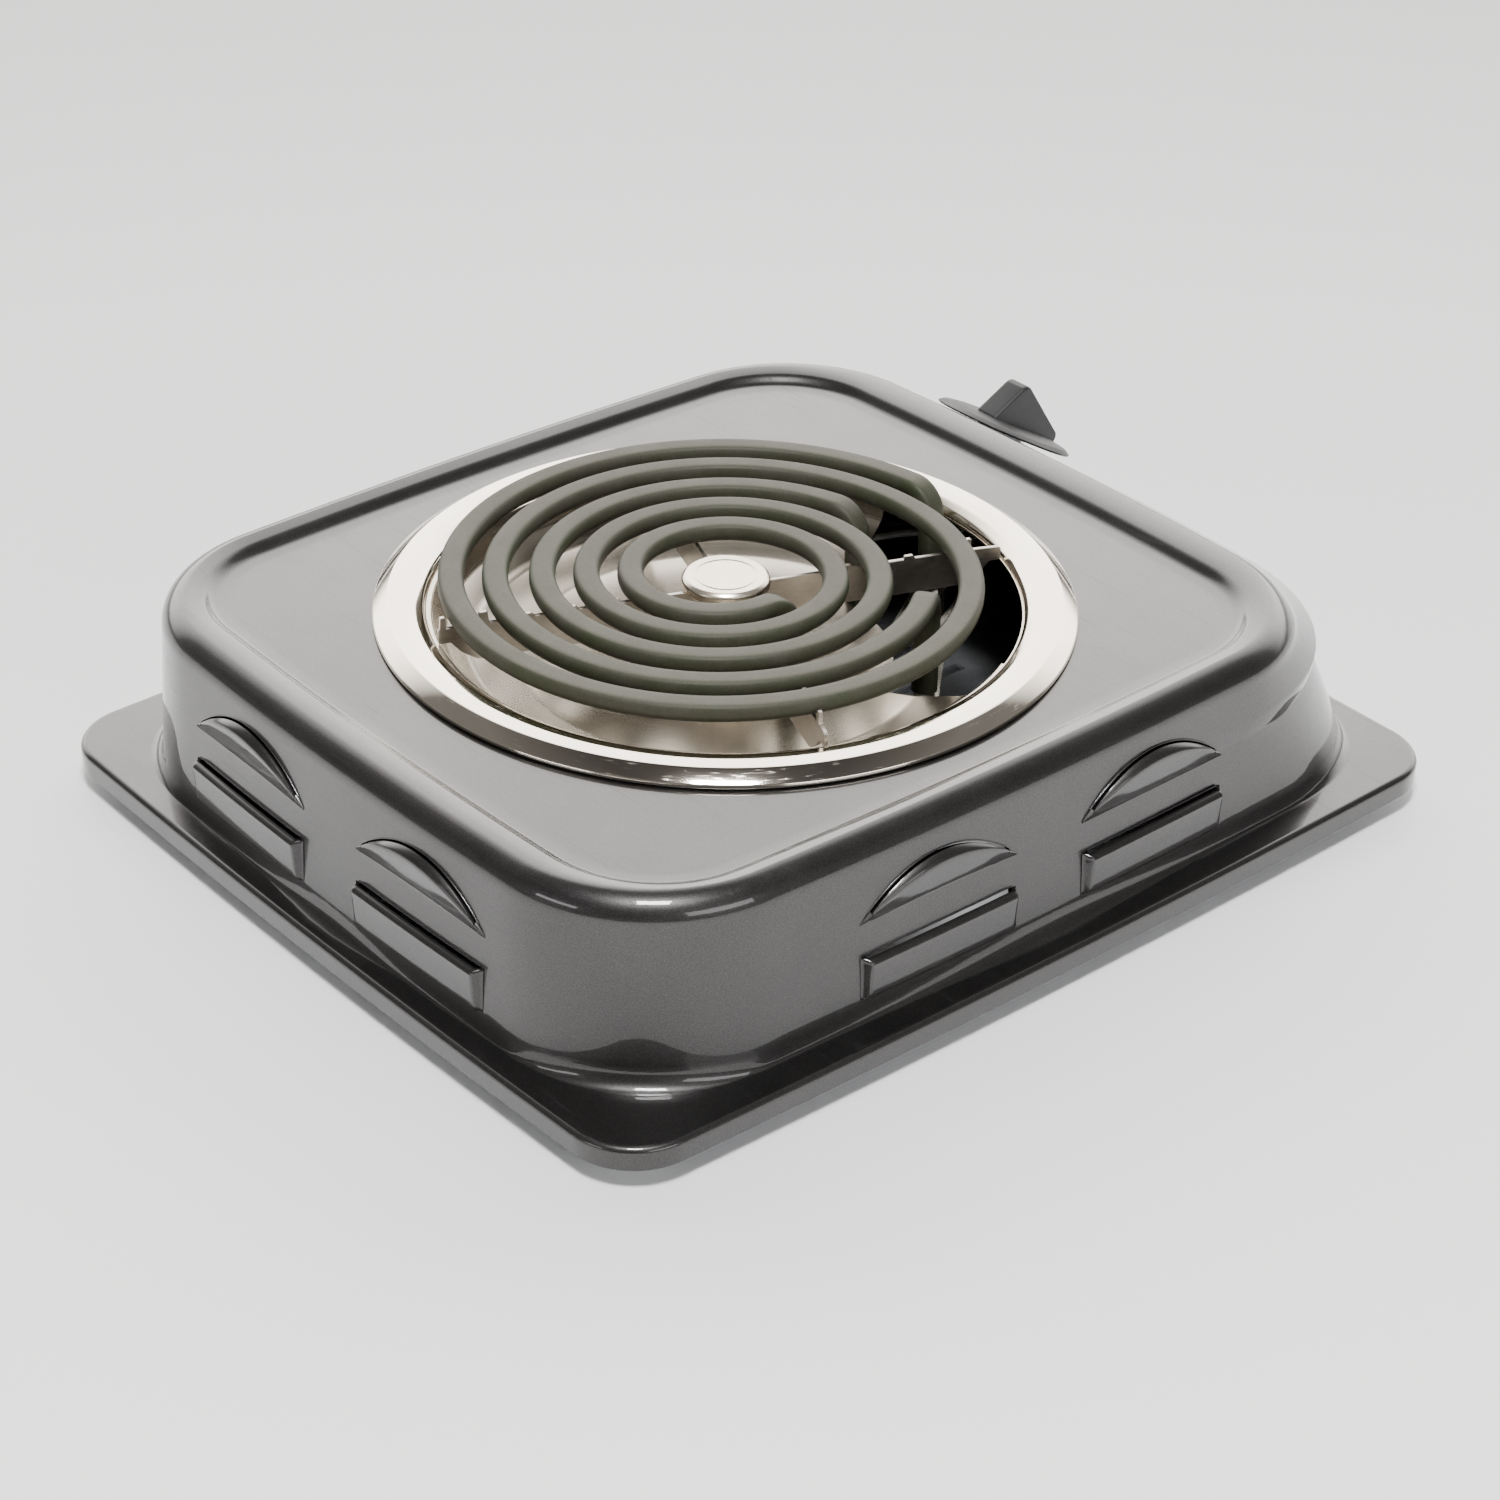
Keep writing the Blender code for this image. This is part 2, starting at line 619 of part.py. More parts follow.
def medallion():
    """The blank centre cap, with four prongs that pass between the arms and lock into the retainer below."""
    cap = [(0.0, 65.6), (9.6, 65.7), (11.4, 65.3), (12.4, 64.2), (12.5, 62.3), (0.0, 62.3)]
    steel = (0.55, 0.54, 0.52)
    top = to_object("medallion", *lathe(cap, 24, hob_place()), steel, 1.0, 0.3)
    prongs = []
    holes = []
    for i in range(4):
        turn = math.radians(ARM_ANGLES[0] + 45.0 + 90.0 * i)
        centre = (HOB[0] + 5.5 * math.cos(turn), HOB[1] + 5.5 * math.sin(turn))
        prongs.append(prism(circle(1.2, 8, centre), 48.6, 63.0))
        holes.append(prism(circle(1.5, 8, centre), 47.0, 52.0))
    tool = to_object("medallion_prongs", *merge(*prongs), steel, hidden=True)
    boolean(top, tool, "UNION")
    plate = [(2.0, 50.7), (9.0, 50.7), (9.0, 49.7), (2.0, 49.7)]
    retainer = to_object("medallion_retainer", *lathe(plate, 16, hob_place()), steel, 1.0, 0.35)
    hole_tool = to_object("medallion_holes", *merge(*holes), steel, hidden=True)
    boolean(retainer, hole_tool, "DIFFERENCE")


def control():
    """Rotary switch behind the sloped panel, and the shaft and knob that turn together."""
    place = control_place(0.0)
    pivot = place.translation.copy()
    steel = (0.55, 0.55, 0.55)
    plate = prism(block(-17.0, 17.0, -7.0, 13.0), -4.4, -3.2, place)
    bushing = prism(circle(4.8, 16), -3.6, 1.6, place)
    bracket = to_object("switch_bracket", *plate, steel, 1.0, 0.4)
    bush_tool = to_object("switch_bushing", *bushing, steel, hidden=True)
    bore_tool = to_object("switch_bore", *prism(circle(3.35, 16), -6.0, 3.0, place), steel, hidden=True)
    boolean(bracket, bush_tool, "UNION")
    boolean(bracket, bore_tool, "DIFFERENCE")
    nut = [(5.9, 0.3), (8.6, 0.3), (8.6, 1.6), (5.9, 1.6)]
    to_object("switch_nut", *lathe(nut, 6, place), steel, 1.0, 0.35)
    case = [(-11.0, -9.5), (11.0, -9.5), (14.5, -6.0), (14.5, 14.0), (11.0, 17.5), (-11.0, 17.5), (-14.5, 14.0),
            (-14.5, -6.0)]
    body = to_object("switch_body", *prism(case, -21.7, -4.7, place), (0.05, 0.04, 0.035), 0.0, 0.4)
    well_tool = to_object("switch_well", *prism(circle(3.35, 16), -13.0, 0.0, place), steel, hidden=True)
    boolean(body, well_tool, "DIFFERENCE")
    for number, (x, y) in enumerate(switch_tabs(), 1):
        tab = prism(block(x - 2.4, x + 2.4, y - 0.4, y + 0.4), -28.0, -22.0, place)
        to_object(f"switch_terminal_{number}", *tab, (0.65, 0.5, 0.2), 1.0, 0.35)
    shaft = [(0.0, -12.6), (3.0, -12.6), (3.0, 12.3), (2.5, 12.8), (0.0, 12.8)]
    to_object("switch_shaft", *lathe(shaft, 16, place), (0.6, 0.6, 0.6), 1.0, 0.3, pivot=pivot)
    skirt = [
        (0.0, KNOB_GAP), (SKIRT_R - 0.5, KNOB_GAP), (SKIRT_R, KNOB_GAP + 0.6), (SKIRT_R - 2.0, KNOB_GAP + 1.7),
        (16.5, KNOB_GAP + 2.3), (0.0, KNOB_GAP + 2.9),
    ]
    black = (0.045, 0.045, 0.045)
    knob = to_object("control_knob", *lathe(skirt, 32, place), black, 0.0, 0.45, pivot=pivot)
    grip = []
    for x, inset in ((-GRIP_HALF, 0.5), (-GRIP_HALF + 0.5, 0.0), (GRIP_HALF - 0.5, 0.0), (GRIP_HALF, 0.5)):
        middle = Vector((-4.0, 6.0))
        ring = []
        for u, out in GRIP_PROFILE:
            away = Vector((u, out)) - middle
            u, out = middle + away * (1.0 - inset / away.length)
            ring.append(place @ Vector((x, u, out)))
        grip.append(ring)
    tool = to_object("knob_grip", *loft(grip), black, hidden=True)
    bore = to_object("knob_bore", *prism(circle(3.3, 16), 0.0, 13.1, place), black, hidden=True)
    boolean(knob, tool, "UNION")
    boolean(knob, bore, "DIFFERENCE")


def switch_tabs():
    """Where the switch's terminals stand on its back: four for the elements, then two for the supply."""
    return [(-9.0, -4.5), (-3.0, -4.5), (3.0, -4.5), (9.0, -4.5), (-4.5, 5.5), (4.5, 5.5)]


def wire(name, knots, colour, radius=1.1):
    path = smooth_path(knots, 3)
    section = circle(radius, 6)
    to_object(name, *sweep(path, section, (0.0, 0.0, 1.0) if abs(path[1].z - path[0].z) < 0.5 else (1, 0, 0)),
              colour, 0.0, 0.6)


def wiring(feet):
    """Leads from the element terminals to the switch, and from the supply block to the switch."""
    place = control_place(0.0)
    tabs = [place @ Vector((x, y, -28.0 - GAP)) for x, y in switch_tabs()]
    beyond = [place @ Vector((x, y, -33.0)) for x, y in switch_tabs()]
    pin_low = LEG_END_Z - GAP - 5.0 - GAP - 8.0 - 2 * GAP
    for number, foot in enumerate(feet):
        level = 13.5 - 2.9 * number
        tab = tabs[number]
        turn = beyond[number]
        knots = [
            (foot.x, foot.y, pin_low), (foot.x + 1.0, foot.y - 1.0, (pin_low + level) / 2 + 0.5),
            (foot.x + 5.0, foot.y - 6.0, level),
            ((foot.x + turn.x) / 2 - 4.0, (foot.y + turn.y) / 2 + 4.0, level),
            (turn.x - 5.0, turn.y + 9.0 + number * 1.5, level), turn, tab,
        ]
        wire(f"element_lead_{number + 1}", knots, (0.75, 0.7, 0.6))
    for number in (0, 1):
        tab = tabs[4 + number]
        turn = beyond[4 + number]
        start = Vector((88.2, -10.0 + 10.0 * number - 5.0, 10.5))
        knots = [start, (82.0, start.y - 1.0, 11.0), (72.0 + 8.0 * number, -50.0, 17.0 + 4.0 * number),
                 (turn.x + 8.0, turn.y + 18.0, turn.z + 2.0), turn, tab]
        wire(f"supply_lead_{number + 1}", knots, (0.08, 0.08, 0.08) if number else (0.8, 0.8, 0.78))


def supply_block():
    """The ceramic block that the supply is wired to, beside the cord hole, with its screws and earth point."""
    ceramic = (0.85, 0.83, 0.77)
    z = PLATE_Z + PLATE_T + GAP
    body = to_object("supply_block", *prism(block(89.0, 107.0, -22.0, 2.0), z, z + 13.0), ceramic, 0.0, 0.5)
    cuts = []
    for number in range(2):
        y = -15.0 + 10.0 * number
        cuts.append(prism(circle(2.4, 12, (98.0, y)), z + 6.0, z + 20.0))
        head = [(0.0, z + 12.2), (2.0, z + 12.2), (2.0, z + 10.4), (1.5, z + 10.4), (1.5, z + 6.4), (0.0, z + 6.4)]
        to_object(f"supply_screw_{number + 1}", *lathe(head, 12, Matrix.Translation((98.0, y, 0.0))),
                  (0.7, 0.55, 0.25), 1.0, 0.3)
    tool = to_object("supply_block_wells", *merge(*cuts), ceramic, hidden=True)
    boolean(body, tool, "DIFFERENCE")
    head = [(0.0, z + 2.4), (2.6, z + 2.4), (3.4, z + 1.4), (3.4, z), (0.0, z)]
    to_object("earth_screw", *lathe(head, 12, Matrix.Translation((98.0, 20.0, 0.0))), (0.35, 0.5, 0.3), 0.6, 0.4)


def grommet():
    profile = [
        (4.2, -3.2), (9.4, -3.2), (9.4, -1.9), (7.0, -1.5), (7.0, 0.5), (9.4, 0.9), (9.0, 3.0), (6.4, 4.6),
        (4.2, 4.6),
    ]
    to_object("cord_grommet", *lathe(profile, 16, grommet_place()), (0.03, 0.03, 0.03), 0.0, 0.7)


def base_plate():
    """The flat cover inside the lip, with rows of air slots and the holes for the foot screws."""
    ring = rounded(FLANGE_X - SHEET - 0.5, FLANGE_Y - SHEET - 0.5, -FLANGE_Y + SHEET + 0.5, FLANGE_R - 1.5,
                   FLANGE_R - 1.5, FLANGE_BOW, 0.0)
    outline = [(x, y) for x, y, _ in ring]
    steel = (0.5, 0.5, 0.5)
    plate = to_object("base_plate", *prism(outline, PLATE_Z, PLATE_Z + PLATE_T), steel, 0.9, 0.45)
    cuts = []
    for i in range(7):
        x = -54.0 + 18.0 * i
        for y in (-62.0, 62.0):
            cuts.append(prism(block(x - 2.0, x + 2.0, y - 22.0, y + 22.0), 0.0, 5.0))
    for x, y in foot_places():
        cuts.append(prism(circle(2.3, 12, (x, y)), 0.0, 5.0))
    tool = to_object("base_plate_cuts", *merge(*cuts), steel, hidden=True)
    boolean(plate, tool, "DIFFERENCE")


def foot_places():
    return [(FOOT_X, FOOT_Y), (-FOOT_X, FOOT_Y), (-FOOT_X, -FOOT_Y), (FOOT_X, -FOOT_Y)]


def feet():
    """Rubber feet under the plate. Each screw passes through its foot and the plate into a bracket on the shell."""
    top = PLATE_Z - GAP
    for number, (x, y) in enumerate(foot_places(), 1):
        place = Matrix.Translation((x, y, 0.0))
        rubber = [(2.2, top), (9.5, top), (9.5, top - 1.0), (8.2, -FOOT_DROP + 0.6), (7.6, -FOOT_DROP),
                  (4.4, -FOOT_DROP), (4.4, -2.2), (2.2, -2.2)]
        to_object(f"foot_{number}", *lathe(rubber, 16, place), (0.03, 0.03, 0.03), 0.0, 0.8)
        low = -2.2 - GAP
        screw = [(0.0, low - 1.6), (3.0, low - 1.2), (3.6, low), (1.9, low), (1.9, 8.6), (0.0, 8.6)]
        to_object(f"foot_screw_{number}", *lathe(screw, 8, place), (0.6, 0.6, 0.6), 1.0, 0.35)


def foot_brackets():
    """An angle inside each corner, spot-welded to the flange, that the foot screw is driven into."""
    for number, (x, y) in enumerate(foot_places(), 1):
        z = PLATE_Z + PLATE_T + GAP
        outline = [(-7.0, z), (7.0, z), (7.0, z + 1.2), (-7.0, z + 1.2)]
        place = Matrix(((1, 0, 0), (0, 0, 1), (0, 1, 0))).to_4x4()
        place.translation = Vector((x, y, 0.0))
        bracket = to_object(f"foot_bracket_{number}", *prism(outline, -8.0, 8.0, place), (0.5, 0.5, 0.5), 1.0, 0.4)
        tool = to_object(f"foot_bracket_hole_{number}", *prism(circle(2.2, 12, (x, y)), z - 2.0, z + 4.0),
                         (0.5, 0.5, 0.5), hidden=True)
        boolean(bracket, tool, "DIFFERENCE")


def main():
    clear_scene()
    housing()
    trim_ring()
    drip_pan()
    outer = element("coil_outer", OUTER_START_R, OUTER_FROM, OUTER_TO)
    inner = element("coil_inner", INNER_START_R, INNER_FROM, INNER_TO)
    feet_of_legs = [outer[0], inner[0], outer[1], inner[1]]
    terminals(feet_of_legs)
    arm_strip("spider_strip_lower", ARM_ANGLES[0], True)
    arm_strip("spider_strip_upper", ARM_ANGLES[1], False)
    medallion()
    control()
    wiring(feet_of_legs)
    supply_block()
    grommet()
    base_plate()
    foot_brackets()
    feet()


main()
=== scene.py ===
"""Looks of the single-coil hot plate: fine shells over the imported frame, procedural finishes, camera, light.

Lengths in the named dimensions are millimetres in the housing's own frame: X and Y from its middle, heights
from the lower edge of its lip. place() moves them to the frame's metres. The control panel faces -Y.
"""

import math

import bmesh
import bpy
from mathutils import Matrix, Vector


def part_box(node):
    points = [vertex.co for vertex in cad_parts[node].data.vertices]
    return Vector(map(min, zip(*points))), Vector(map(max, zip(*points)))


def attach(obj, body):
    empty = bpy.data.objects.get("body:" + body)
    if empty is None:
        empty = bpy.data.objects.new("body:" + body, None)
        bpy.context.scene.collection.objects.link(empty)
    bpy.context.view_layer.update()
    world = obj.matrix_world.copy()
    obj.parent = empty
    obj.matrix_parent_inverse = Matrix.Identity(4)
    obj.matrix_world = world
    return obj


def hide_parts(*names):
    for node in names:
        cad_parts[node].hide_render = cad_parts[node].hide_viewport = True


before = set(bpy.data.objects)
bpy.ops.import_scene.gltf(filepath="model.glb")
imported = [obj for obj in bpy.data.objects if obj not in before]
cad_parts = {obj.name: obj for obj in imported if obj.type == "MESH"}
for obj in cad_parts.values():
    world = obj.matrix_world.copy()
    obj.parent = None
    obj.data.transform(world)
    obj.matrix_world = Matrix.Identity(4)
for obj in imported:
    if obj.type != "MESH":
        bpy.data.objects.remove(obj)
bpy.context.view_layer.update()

MM = 0.001
HOUSING_LOW, HOUSING_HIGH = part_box("housing")
SHIFT = Vector((0.0, (HOUSING_LOW[1] + HOUSING_HIGH[1]) / 2 / MM, HOUSING_LOW[2] / MM))

# Housing
SHEET = 1.0
FLANGE_X = 131.8
FLANGE_Y = 151.9
FLANGE_R = 20.0
FLANGE_TOP = 6.7
FLANGE_BOW = 1.87
LIP_ROUND = 1.8
BODY_X = 119.5
BODY_BACK = 141.9
BODY_FRONT = -124.3
BODY_R = 49.8
BODY_BOW = 1.7
RIM_Z = 59.5
RIM_FILLET = 7.7
DRAFT = math.tan(math.radians(3.35))
WALL_FOOT = 12.7
FOOT_FILLET = 5.0
PANEL_X = 106.8
PANEL_Y = 117.0
PANEL_CY = 9.75
PANEL_R = 34.3
PANEL_Z = 56.0
SLOPE_TOP = (-124.0, 54.0)
SLOPE_ANGLE = math.radians(30.0)
SLOPE_END_Z = 41.3
SHELF_FRONT = -149.0
SHELF_ROUND = 5.5
FLARE_R = 25.0
CREASE = 5.0                 # how softly the slope meets the body
CORNER_STEPS = 16
SIDE_STEPS = 18

# Louvres: a half moon over a straight tab at each centre, on three walls
VENT_W = 27.0
VENT_ARC = 12.5
VENT_CHORD_Z = 35.5
VENT_TAB_TOP = 26.0
VENT_TAB_LOW = 13.4
VENT_PROUD = 3.0
VENT_ROOT = 0.55             # how deep a hood is set into the wall
VENT_CENTRES = (-39.0, 39.0)
SIDE_VENT_SHIFT = 1.0        # the side walls' louvres stand this far towards the back
WALL_OUT = {"back": (0.0, 1.0, 0.0), "left": (-1.0, 0.0, 0.0), "right": (1.0, 0.0, 0.0)}

# Hob
HOB = (0.0, 9.8)
WELL_R = 87.0
RING_OUT = 98.5
RING_IN = 83.4
PAN_SHEET = 0.7
PAN_WINDOW_R = (47.5, 83.0)
PAN_WINDOW_ANGLES = (-154.0, -76.0)
PAN_DRAIN = (-9.0, -30.0)
COIL = (0.0, 11.2)
COIL_Z = 65.2
PITCH = 12.3
TUBE_HALF = 3.7
TUBE_TOP = 2.76
TUBE_LOW = 3.0
OUTER_TURNS = (80.0, -84.0, 575.0)   # first radius, first angle, last angle
INNER_TURNS = (54.4, -77.0, 896.0)
LEG_BEND = 7.5
LEG_END_Z = 34.0
STRIP = 1.2
ARM_LOW = 51.0
ARM_TOP = 61.9
TAB_TOP = 65.4               # the outermost tabs; the inner ones are low nibs
NIB_TOP = 62.9
ARM_REACH = 82.7
ARM_ANGLES = (158.5, 248.5)

# Control
KNOB_X = 44.0
KNOB_DOWN = 17.5             # from the slope's upper edge down to the shaft
KNOB_OUT = 0.9               # from the slope's line out to the knob's zero
SHAFT_HOLE_R = 5.3
SKIRT_R = 22.4
KNOB_GAP = 1.8
KNOB_BORE_R = 3.3
GRIP_HALF = 4.2
GRIP_CREST = (0.2, 17.1)     # up the slope, off the face
GRIP_NOSE = (-20.7, 6.4)
INDEX_HALF = 0.45

# Feet and cord hole
FOOT_TOP = 0.9
CORD_HOLE_Z = 24.0
CORD_HOLE_R = 7.3

# Camera of the reference view, placed from the housing's middle
CAMERA_FROM_HOUSING = Vector((-653.93, 563.14, 530.95))
CAMERA_RIGHT = Vector((-0.6461, -0.7631, 0.0139))
CAMERA_UP = Vector((0.4052, -0.3275, 0.8535))
CAMERA_LENS = 83.89

# Light. The bright wall stands opposite the camera, and fades by height and to its sides.
WALL_SIDE = (0.76, -0.65, 0.0)
WALL_BY_HEIGHT = ((0.04, 0.04), (0.16, 0.9), (0.4, 1.0), (0.76, 0.85), (0.94, 0.10))
WALL_BY_SIDE = ((0.40, 0.03), (0.6, 0.65), (0.76, 1.0))
WALL_BRIGHTNESS = 5.4
ROOM_BRIGHTNESS = 0.05
STUDIO_WHITE = (1.0, 0.977, 0.945, 1.0)
LIGHTS = (                           # name, position in metres, width and depth, power
    ("overhead", (-0.5, 0.43, 1.6), (0.35, 0.35), 42.0),
    ("back_strip", (0.1, 2.3, 0.85), (1.0, 0.3), 6.0),
    ("side_softbox", (-2.3, 0.1, 1.0), (1.6, 0.6), 16.0),
)
LIGHT_AIM = (0.0, 0.0, 0.03)
FLOOR_HALF = 15.0                    # metres


def place(point):
    return (Vector(point) + SHIFT) * MM


# ---------------------------------------------------------------- finishes


def set_stops(elements, stops):
    """Sets a colour ramp: each stop is a position and a grey value or a colour."""
    while len(elements) < len(stops):
        elements.new(0.5)
    for element, (position, colour) in zip(elements, stops):
        element.position = position
        shade = colour if isinstance(colour, tuple) else (colour, colour, colour)
        element.color = (*shade, 1.0)


class Finish:
    """A Principled material, with short calls for the nodes that shape its colour, roughness and relief.

    A plain roughness given at the start stands in for the nodes' own in viewers that have no nodes.
    """

    def __init__(self, name, **sockets):
        self.material = bpy.data.materials.new(name)
        self.material.use_nodes = True
        self.tree = self.material.node_tree
        self.shader = self.tree.nodes["Principled BSDF"]
        for socket, value in sockets.items():
            self.shader.inputs[socket.replace("_", " ")].default_value = value
        self.where = self.tree.nodes.new("ShaderNodeTexCoord").outputs["Object"]

    def feed(self, socket, value):
        if isinstance(value, bpy.types.NodeSocket):
            self.tree.links.new(value, socket)
        else:
            socket.default_value = value

    def add(self, kind, **inputs):
        node = self.tree.nodes.new("ShaderNode" + kind)
        for socket, value in inputs.items():
            self.feed(node.inputs[socket.replace("_", " ")], value)
        return node

    def stretched(self, scale, turn=(0.0, 0.0, 0.0)):
        return self.add("Mapping", Vector=self.where, Scale=scale, Rotation=turn).outputs["Vector"]

    def around(self, centre, angle_scale):
        """Coordinates that run round an upright axis: the radius in metres, then a slow angle."""
        moved = self.add("Mapping", Vector=self.where, Location=(-centre[0], -centre[1], 0.0))
        parts = self.add("SeparateXYZ", Vector=moved.outputs["Vector"])
        square = self.math("MULTIPLY", parts.outputs["X"], parts.outputs["X"])
        square = self.math("ADD", square, self.math("MULTIPLY", parts.outputs["Y"], parts.outputs["Y"]))
        radius = self.math("SQRT", square, 0.0)
        angle = self.math("ARCTAN2", parts.outputs["Y"], parts.outputs["X"])
        angle = self.math("MULTIPLY", angle, angle_scale)
        return self.add("CombineXYZ", X=radius, Y=angle, Z=parts.outputs["Z"]).outputs["Vector"]

    def math(self, operation, a, b):
        node = self.tree.nodes.new("ShaderNodeMath")
        node.operation = operation
        for socket, value in zip(node.inputs, (a, b)):
            self.feed(socket, value)
        return node.outputs["Value"]

    def noise(self, scale, detail, roughness=0.55, vector=None):
        return self.add("TexNoise", Vector=vector or self.where, Scale=scale, Detail=detail,
                        Roughness=roughness).outputs["Fac"]

    def cells(self, scale):
        return self.add("TexVoronoi", Vector=self.where, Scale=scale).outputs["Distance"]

    def ramp(self, factor, *stops):
        node = self.add("ValToRGB", Fac=factor)
        set_stops(node.color_ramp.elements, stops)
        return node.outputs["Color"]

    def mix(self, factor, a, b, blend="MIX"):
        node = self.tree.nodes.new("ShaderNodeMix")
        node.data_type = "RGBA"
        node.blend_type = blend
        for name, value in (("Factor_Float", factor), ("A_Color", a), ("B_Color", b)):
            socket = next(s for s in node.inputs if s.identifier == name)
            self.feed(socket, (*value, 1.0) if isinstance(value, tuple) else value)
        return next(s for s in node.outputs if s.identifier == "Result_Color")

    def set(self, socket, source):
        self.tree.links.new(source, self.shader.inputs[socket])

    def relief(self, height, depth_mm, strength, coat=False):
        bump = self.add("Bump", Height=height, Distance=depth_mm * MM, Strength=strength)
        self.set("Coat Normal" if coat else "Normal", bump.outputs["Normal"])


def pearl_enamel():
    """Graphite paint full of fine metal flakes, under a glossy clear coat with a little orange peel."""
    paint = Finish("graphite_pearl_enamel", Metallic=0.95, Roughness=0.24, Coat_Weight=1.0,
                   Coat_Roughness=0.04, Coat_IOR=1.42)
    flakes = paint.cells(2600.0)
    clouds = paint.noise(26.0, 3.0)
    grey = paint.ramp(flakes, (0.1, (0.072, 0.069, 0.068)), (0.55, (0.044, 0.042, 0.0415)))
    shade = paint.ramp(clouds, (0.3, (0.86, 0.86, 0.87)), (0.7, (1.0, 0.995, 0.99)))
    paint.set("Base Color", paint.mix(1.0, grey, shade, "MULTIPLY"))
    scratches = paint.noise(900.0, 2.0, 0.5, paint.stretched((0.03, 1.0, 1.0), (0.0, 0.0, 0.5)))
    smears = paint.noise(60.0, 5.0, 0.65)
    worn = paint.math("MULTIPLY", paint.ramp(scratches, (0.62, 0.0), (0.72, 1.0)), 0.10)
    base = paint.math("ADD", paint.math("MULTIPLY", smears, 0.16), worn)
    paint.set("Roughness", paint.math("ADD", base, 0.31))
    paint.relief(paint.noise(230.0, 2.0, 0.4), 0.02, 0.5, coat=True)
    paint.relief(flakes, 0.012, 0.35)
    return paint.material


def polished_chrome(centre):
    """Mirror plating with hairline scratches that follow the rim, and a faint film in patches."""
    chrome = Finish("ring_chrome", Metallic=1.0, Roughness=0.07)
    round_rim = chrome.around(centre, 0.012)
    film = chrome.noise(38.0, 5.0, 0.6)
    lines = chrome.noise(1.0, 2.0, 0.5, round_rim)
    hair = chrome.noise(1500.0, 3.0, 0.5, round_rim)
    chrome.set("Base Color", chrome.ramp(film, (0.3, (0.86, 0.77, 0.66)), (0.75, (0.95, 0.88, 0.78))))
    scratch = chrome.math("MULTIPLY", chrome.ramp(hair, (0.6, 0.0), (0.74, 1.0)), 0.14)
    soft = chrome.math("MULTIPLY", chrome.math("ADD", film, lines), 0.035)
    chrome.set("Roughness", chrome.math("ADD", chrome.math("ADD", scratch, soft), 0.035))
    chrome.relief(hair, 0.004, 0.25)
    return chrome.material


def spun_steel(name, centre, colour, roughness, line_scale=1100.0):
    """Stainless sheet with fine turning lines round its axis and straw-coloured heat stains."""
    steel = Finish(name, Metallic=1.0, Roughness=roughness)
    lines = steel.noise(line_scale, 4.0, 0.5, steel.around(centre, 0.0012))
    stain = steel.noise(32.0, 6.0, 0.62)
    dark = tuple(c * 0.72 for c in colour)
    warm = (colour[0] * 0.98, colour[1] * 0.92, colour[2] * 0.82)
    tint = steel.mix(steel.ramp(stain, (0.45, 0.0), (0.8, 1.0)), colour, warm)
    grain = steel.ramp(lines, (0.3, (0.965, 0.965, 0.965)), (0.7, (1.0, 1.0, 1.0)))
    spots = steel.ramp(steel.noise(210.0, 3.0), (0.74, 0.0), (0.84, 1.0))
    steel.set("Base Color", steel.mix(spots, steel.mix(1.0, tint, grain, "MULTIPLY"), dark))
    varied = steel.math("ADD", steel.math("MULTIPLY", lines, 0.08), steel.math("MULTIPLY", stain, 0.12))
    steel.set("Roughness", steel.math("ADD", varied, roughness - 0.12))
    steel.relief(lines, 0.003, 0.2)
    return steel.material


def heated_sheath():
    """Element sheath baked to olive grey, greener low on its sides, its flattened top painted paler: painted
    top light, partly rub wear.
    """
    sheath = Finish("element_sheath", Metallic=0.1, Roughness=0.5, Specular_IOR_Level=0.3)
    mottle = sheath.noise(95.0, 6.0, 0.62)
    fine = sheath.noise(1400.0, 3.0, 0.6)
    patches = sheath.ramp(sheath.noise(22.0, 4.0), (0.35, 0.0), (0.65, 1.0))
    up = sheath.add("SeparateXYZ", Vector=sheath.tree.nodes.new("ShaderNodeNewGeometry").outputs["Normal"])
    body = sheath.mix(patches, (0.05, 0.047, 0.033), (0.036, 0.047, 0.02))
    body = sheath.mix(sheath.ramp(mottle, (0.4, 0.0), (0.75, 1.0)), body, (0.062, 0.059, 0.046))
    # painted top light: faces that point upward are painted paler, partly for light from above and partly for
    # rub wear
    lit_top_and_wear = sheath.ramp(up.outputs["Z"], (0.84, 0.0), (0.985, 1.0))
    tone = sheath.mix(lit_top_and_wear, body, (0.08, 0.075, 0.055))
    speckle = sheath.ramp(fine, (0.35, (0.84, 0.84, 0.84)), (0.65, (1.0, 1.0, 1.0)))
    sheath.set("Base Color", sheath.mix(1.0, tone, speckle, "MULTIPLY"))
    sheath.set("Roughness", sheath.math("ADD", sheath.math("MULTIPLY", mottle, 0.22), 0.44))
    sheath.relief(fine, 0.02, 0.45)
    return sheath.material


def satin_metal(name, colour, roughness, metallic=1.0):
    """Rolled or plated metal with a directional grain, small pits and a slow change of tone."""
    metal = Finish(name, Metallic=metallic, Roughness=roughness)
    grain = metal.noise(900.0, 4.0, 0.6, metal.stretched((1.0, 0.06, 1.0)))
    tone = metal.noise(45.0, 4.0)
    dull = tuple(c * 0.74 for c in colour)
    base = metal.mix(metal.ramp(tone, (0.35, 0.0), (0.7, 1.0)), dull, colour)
    lines = metal.ramp(grain, (0.3, (0.84, 0.84, 0.84)), (0.7, (1.0, 1.0, 1.0)))
    metal.set("Base Color", metal.mix(1.0, base, lines, "MULTIPLY"))
    metal.set("Roughness", metal.math("ADD", metal.math("MULTIPLY", grain, 0.2), roughness - 0.1))
    metal.relief(grain, 0.015, 0.4)
    return metal.material


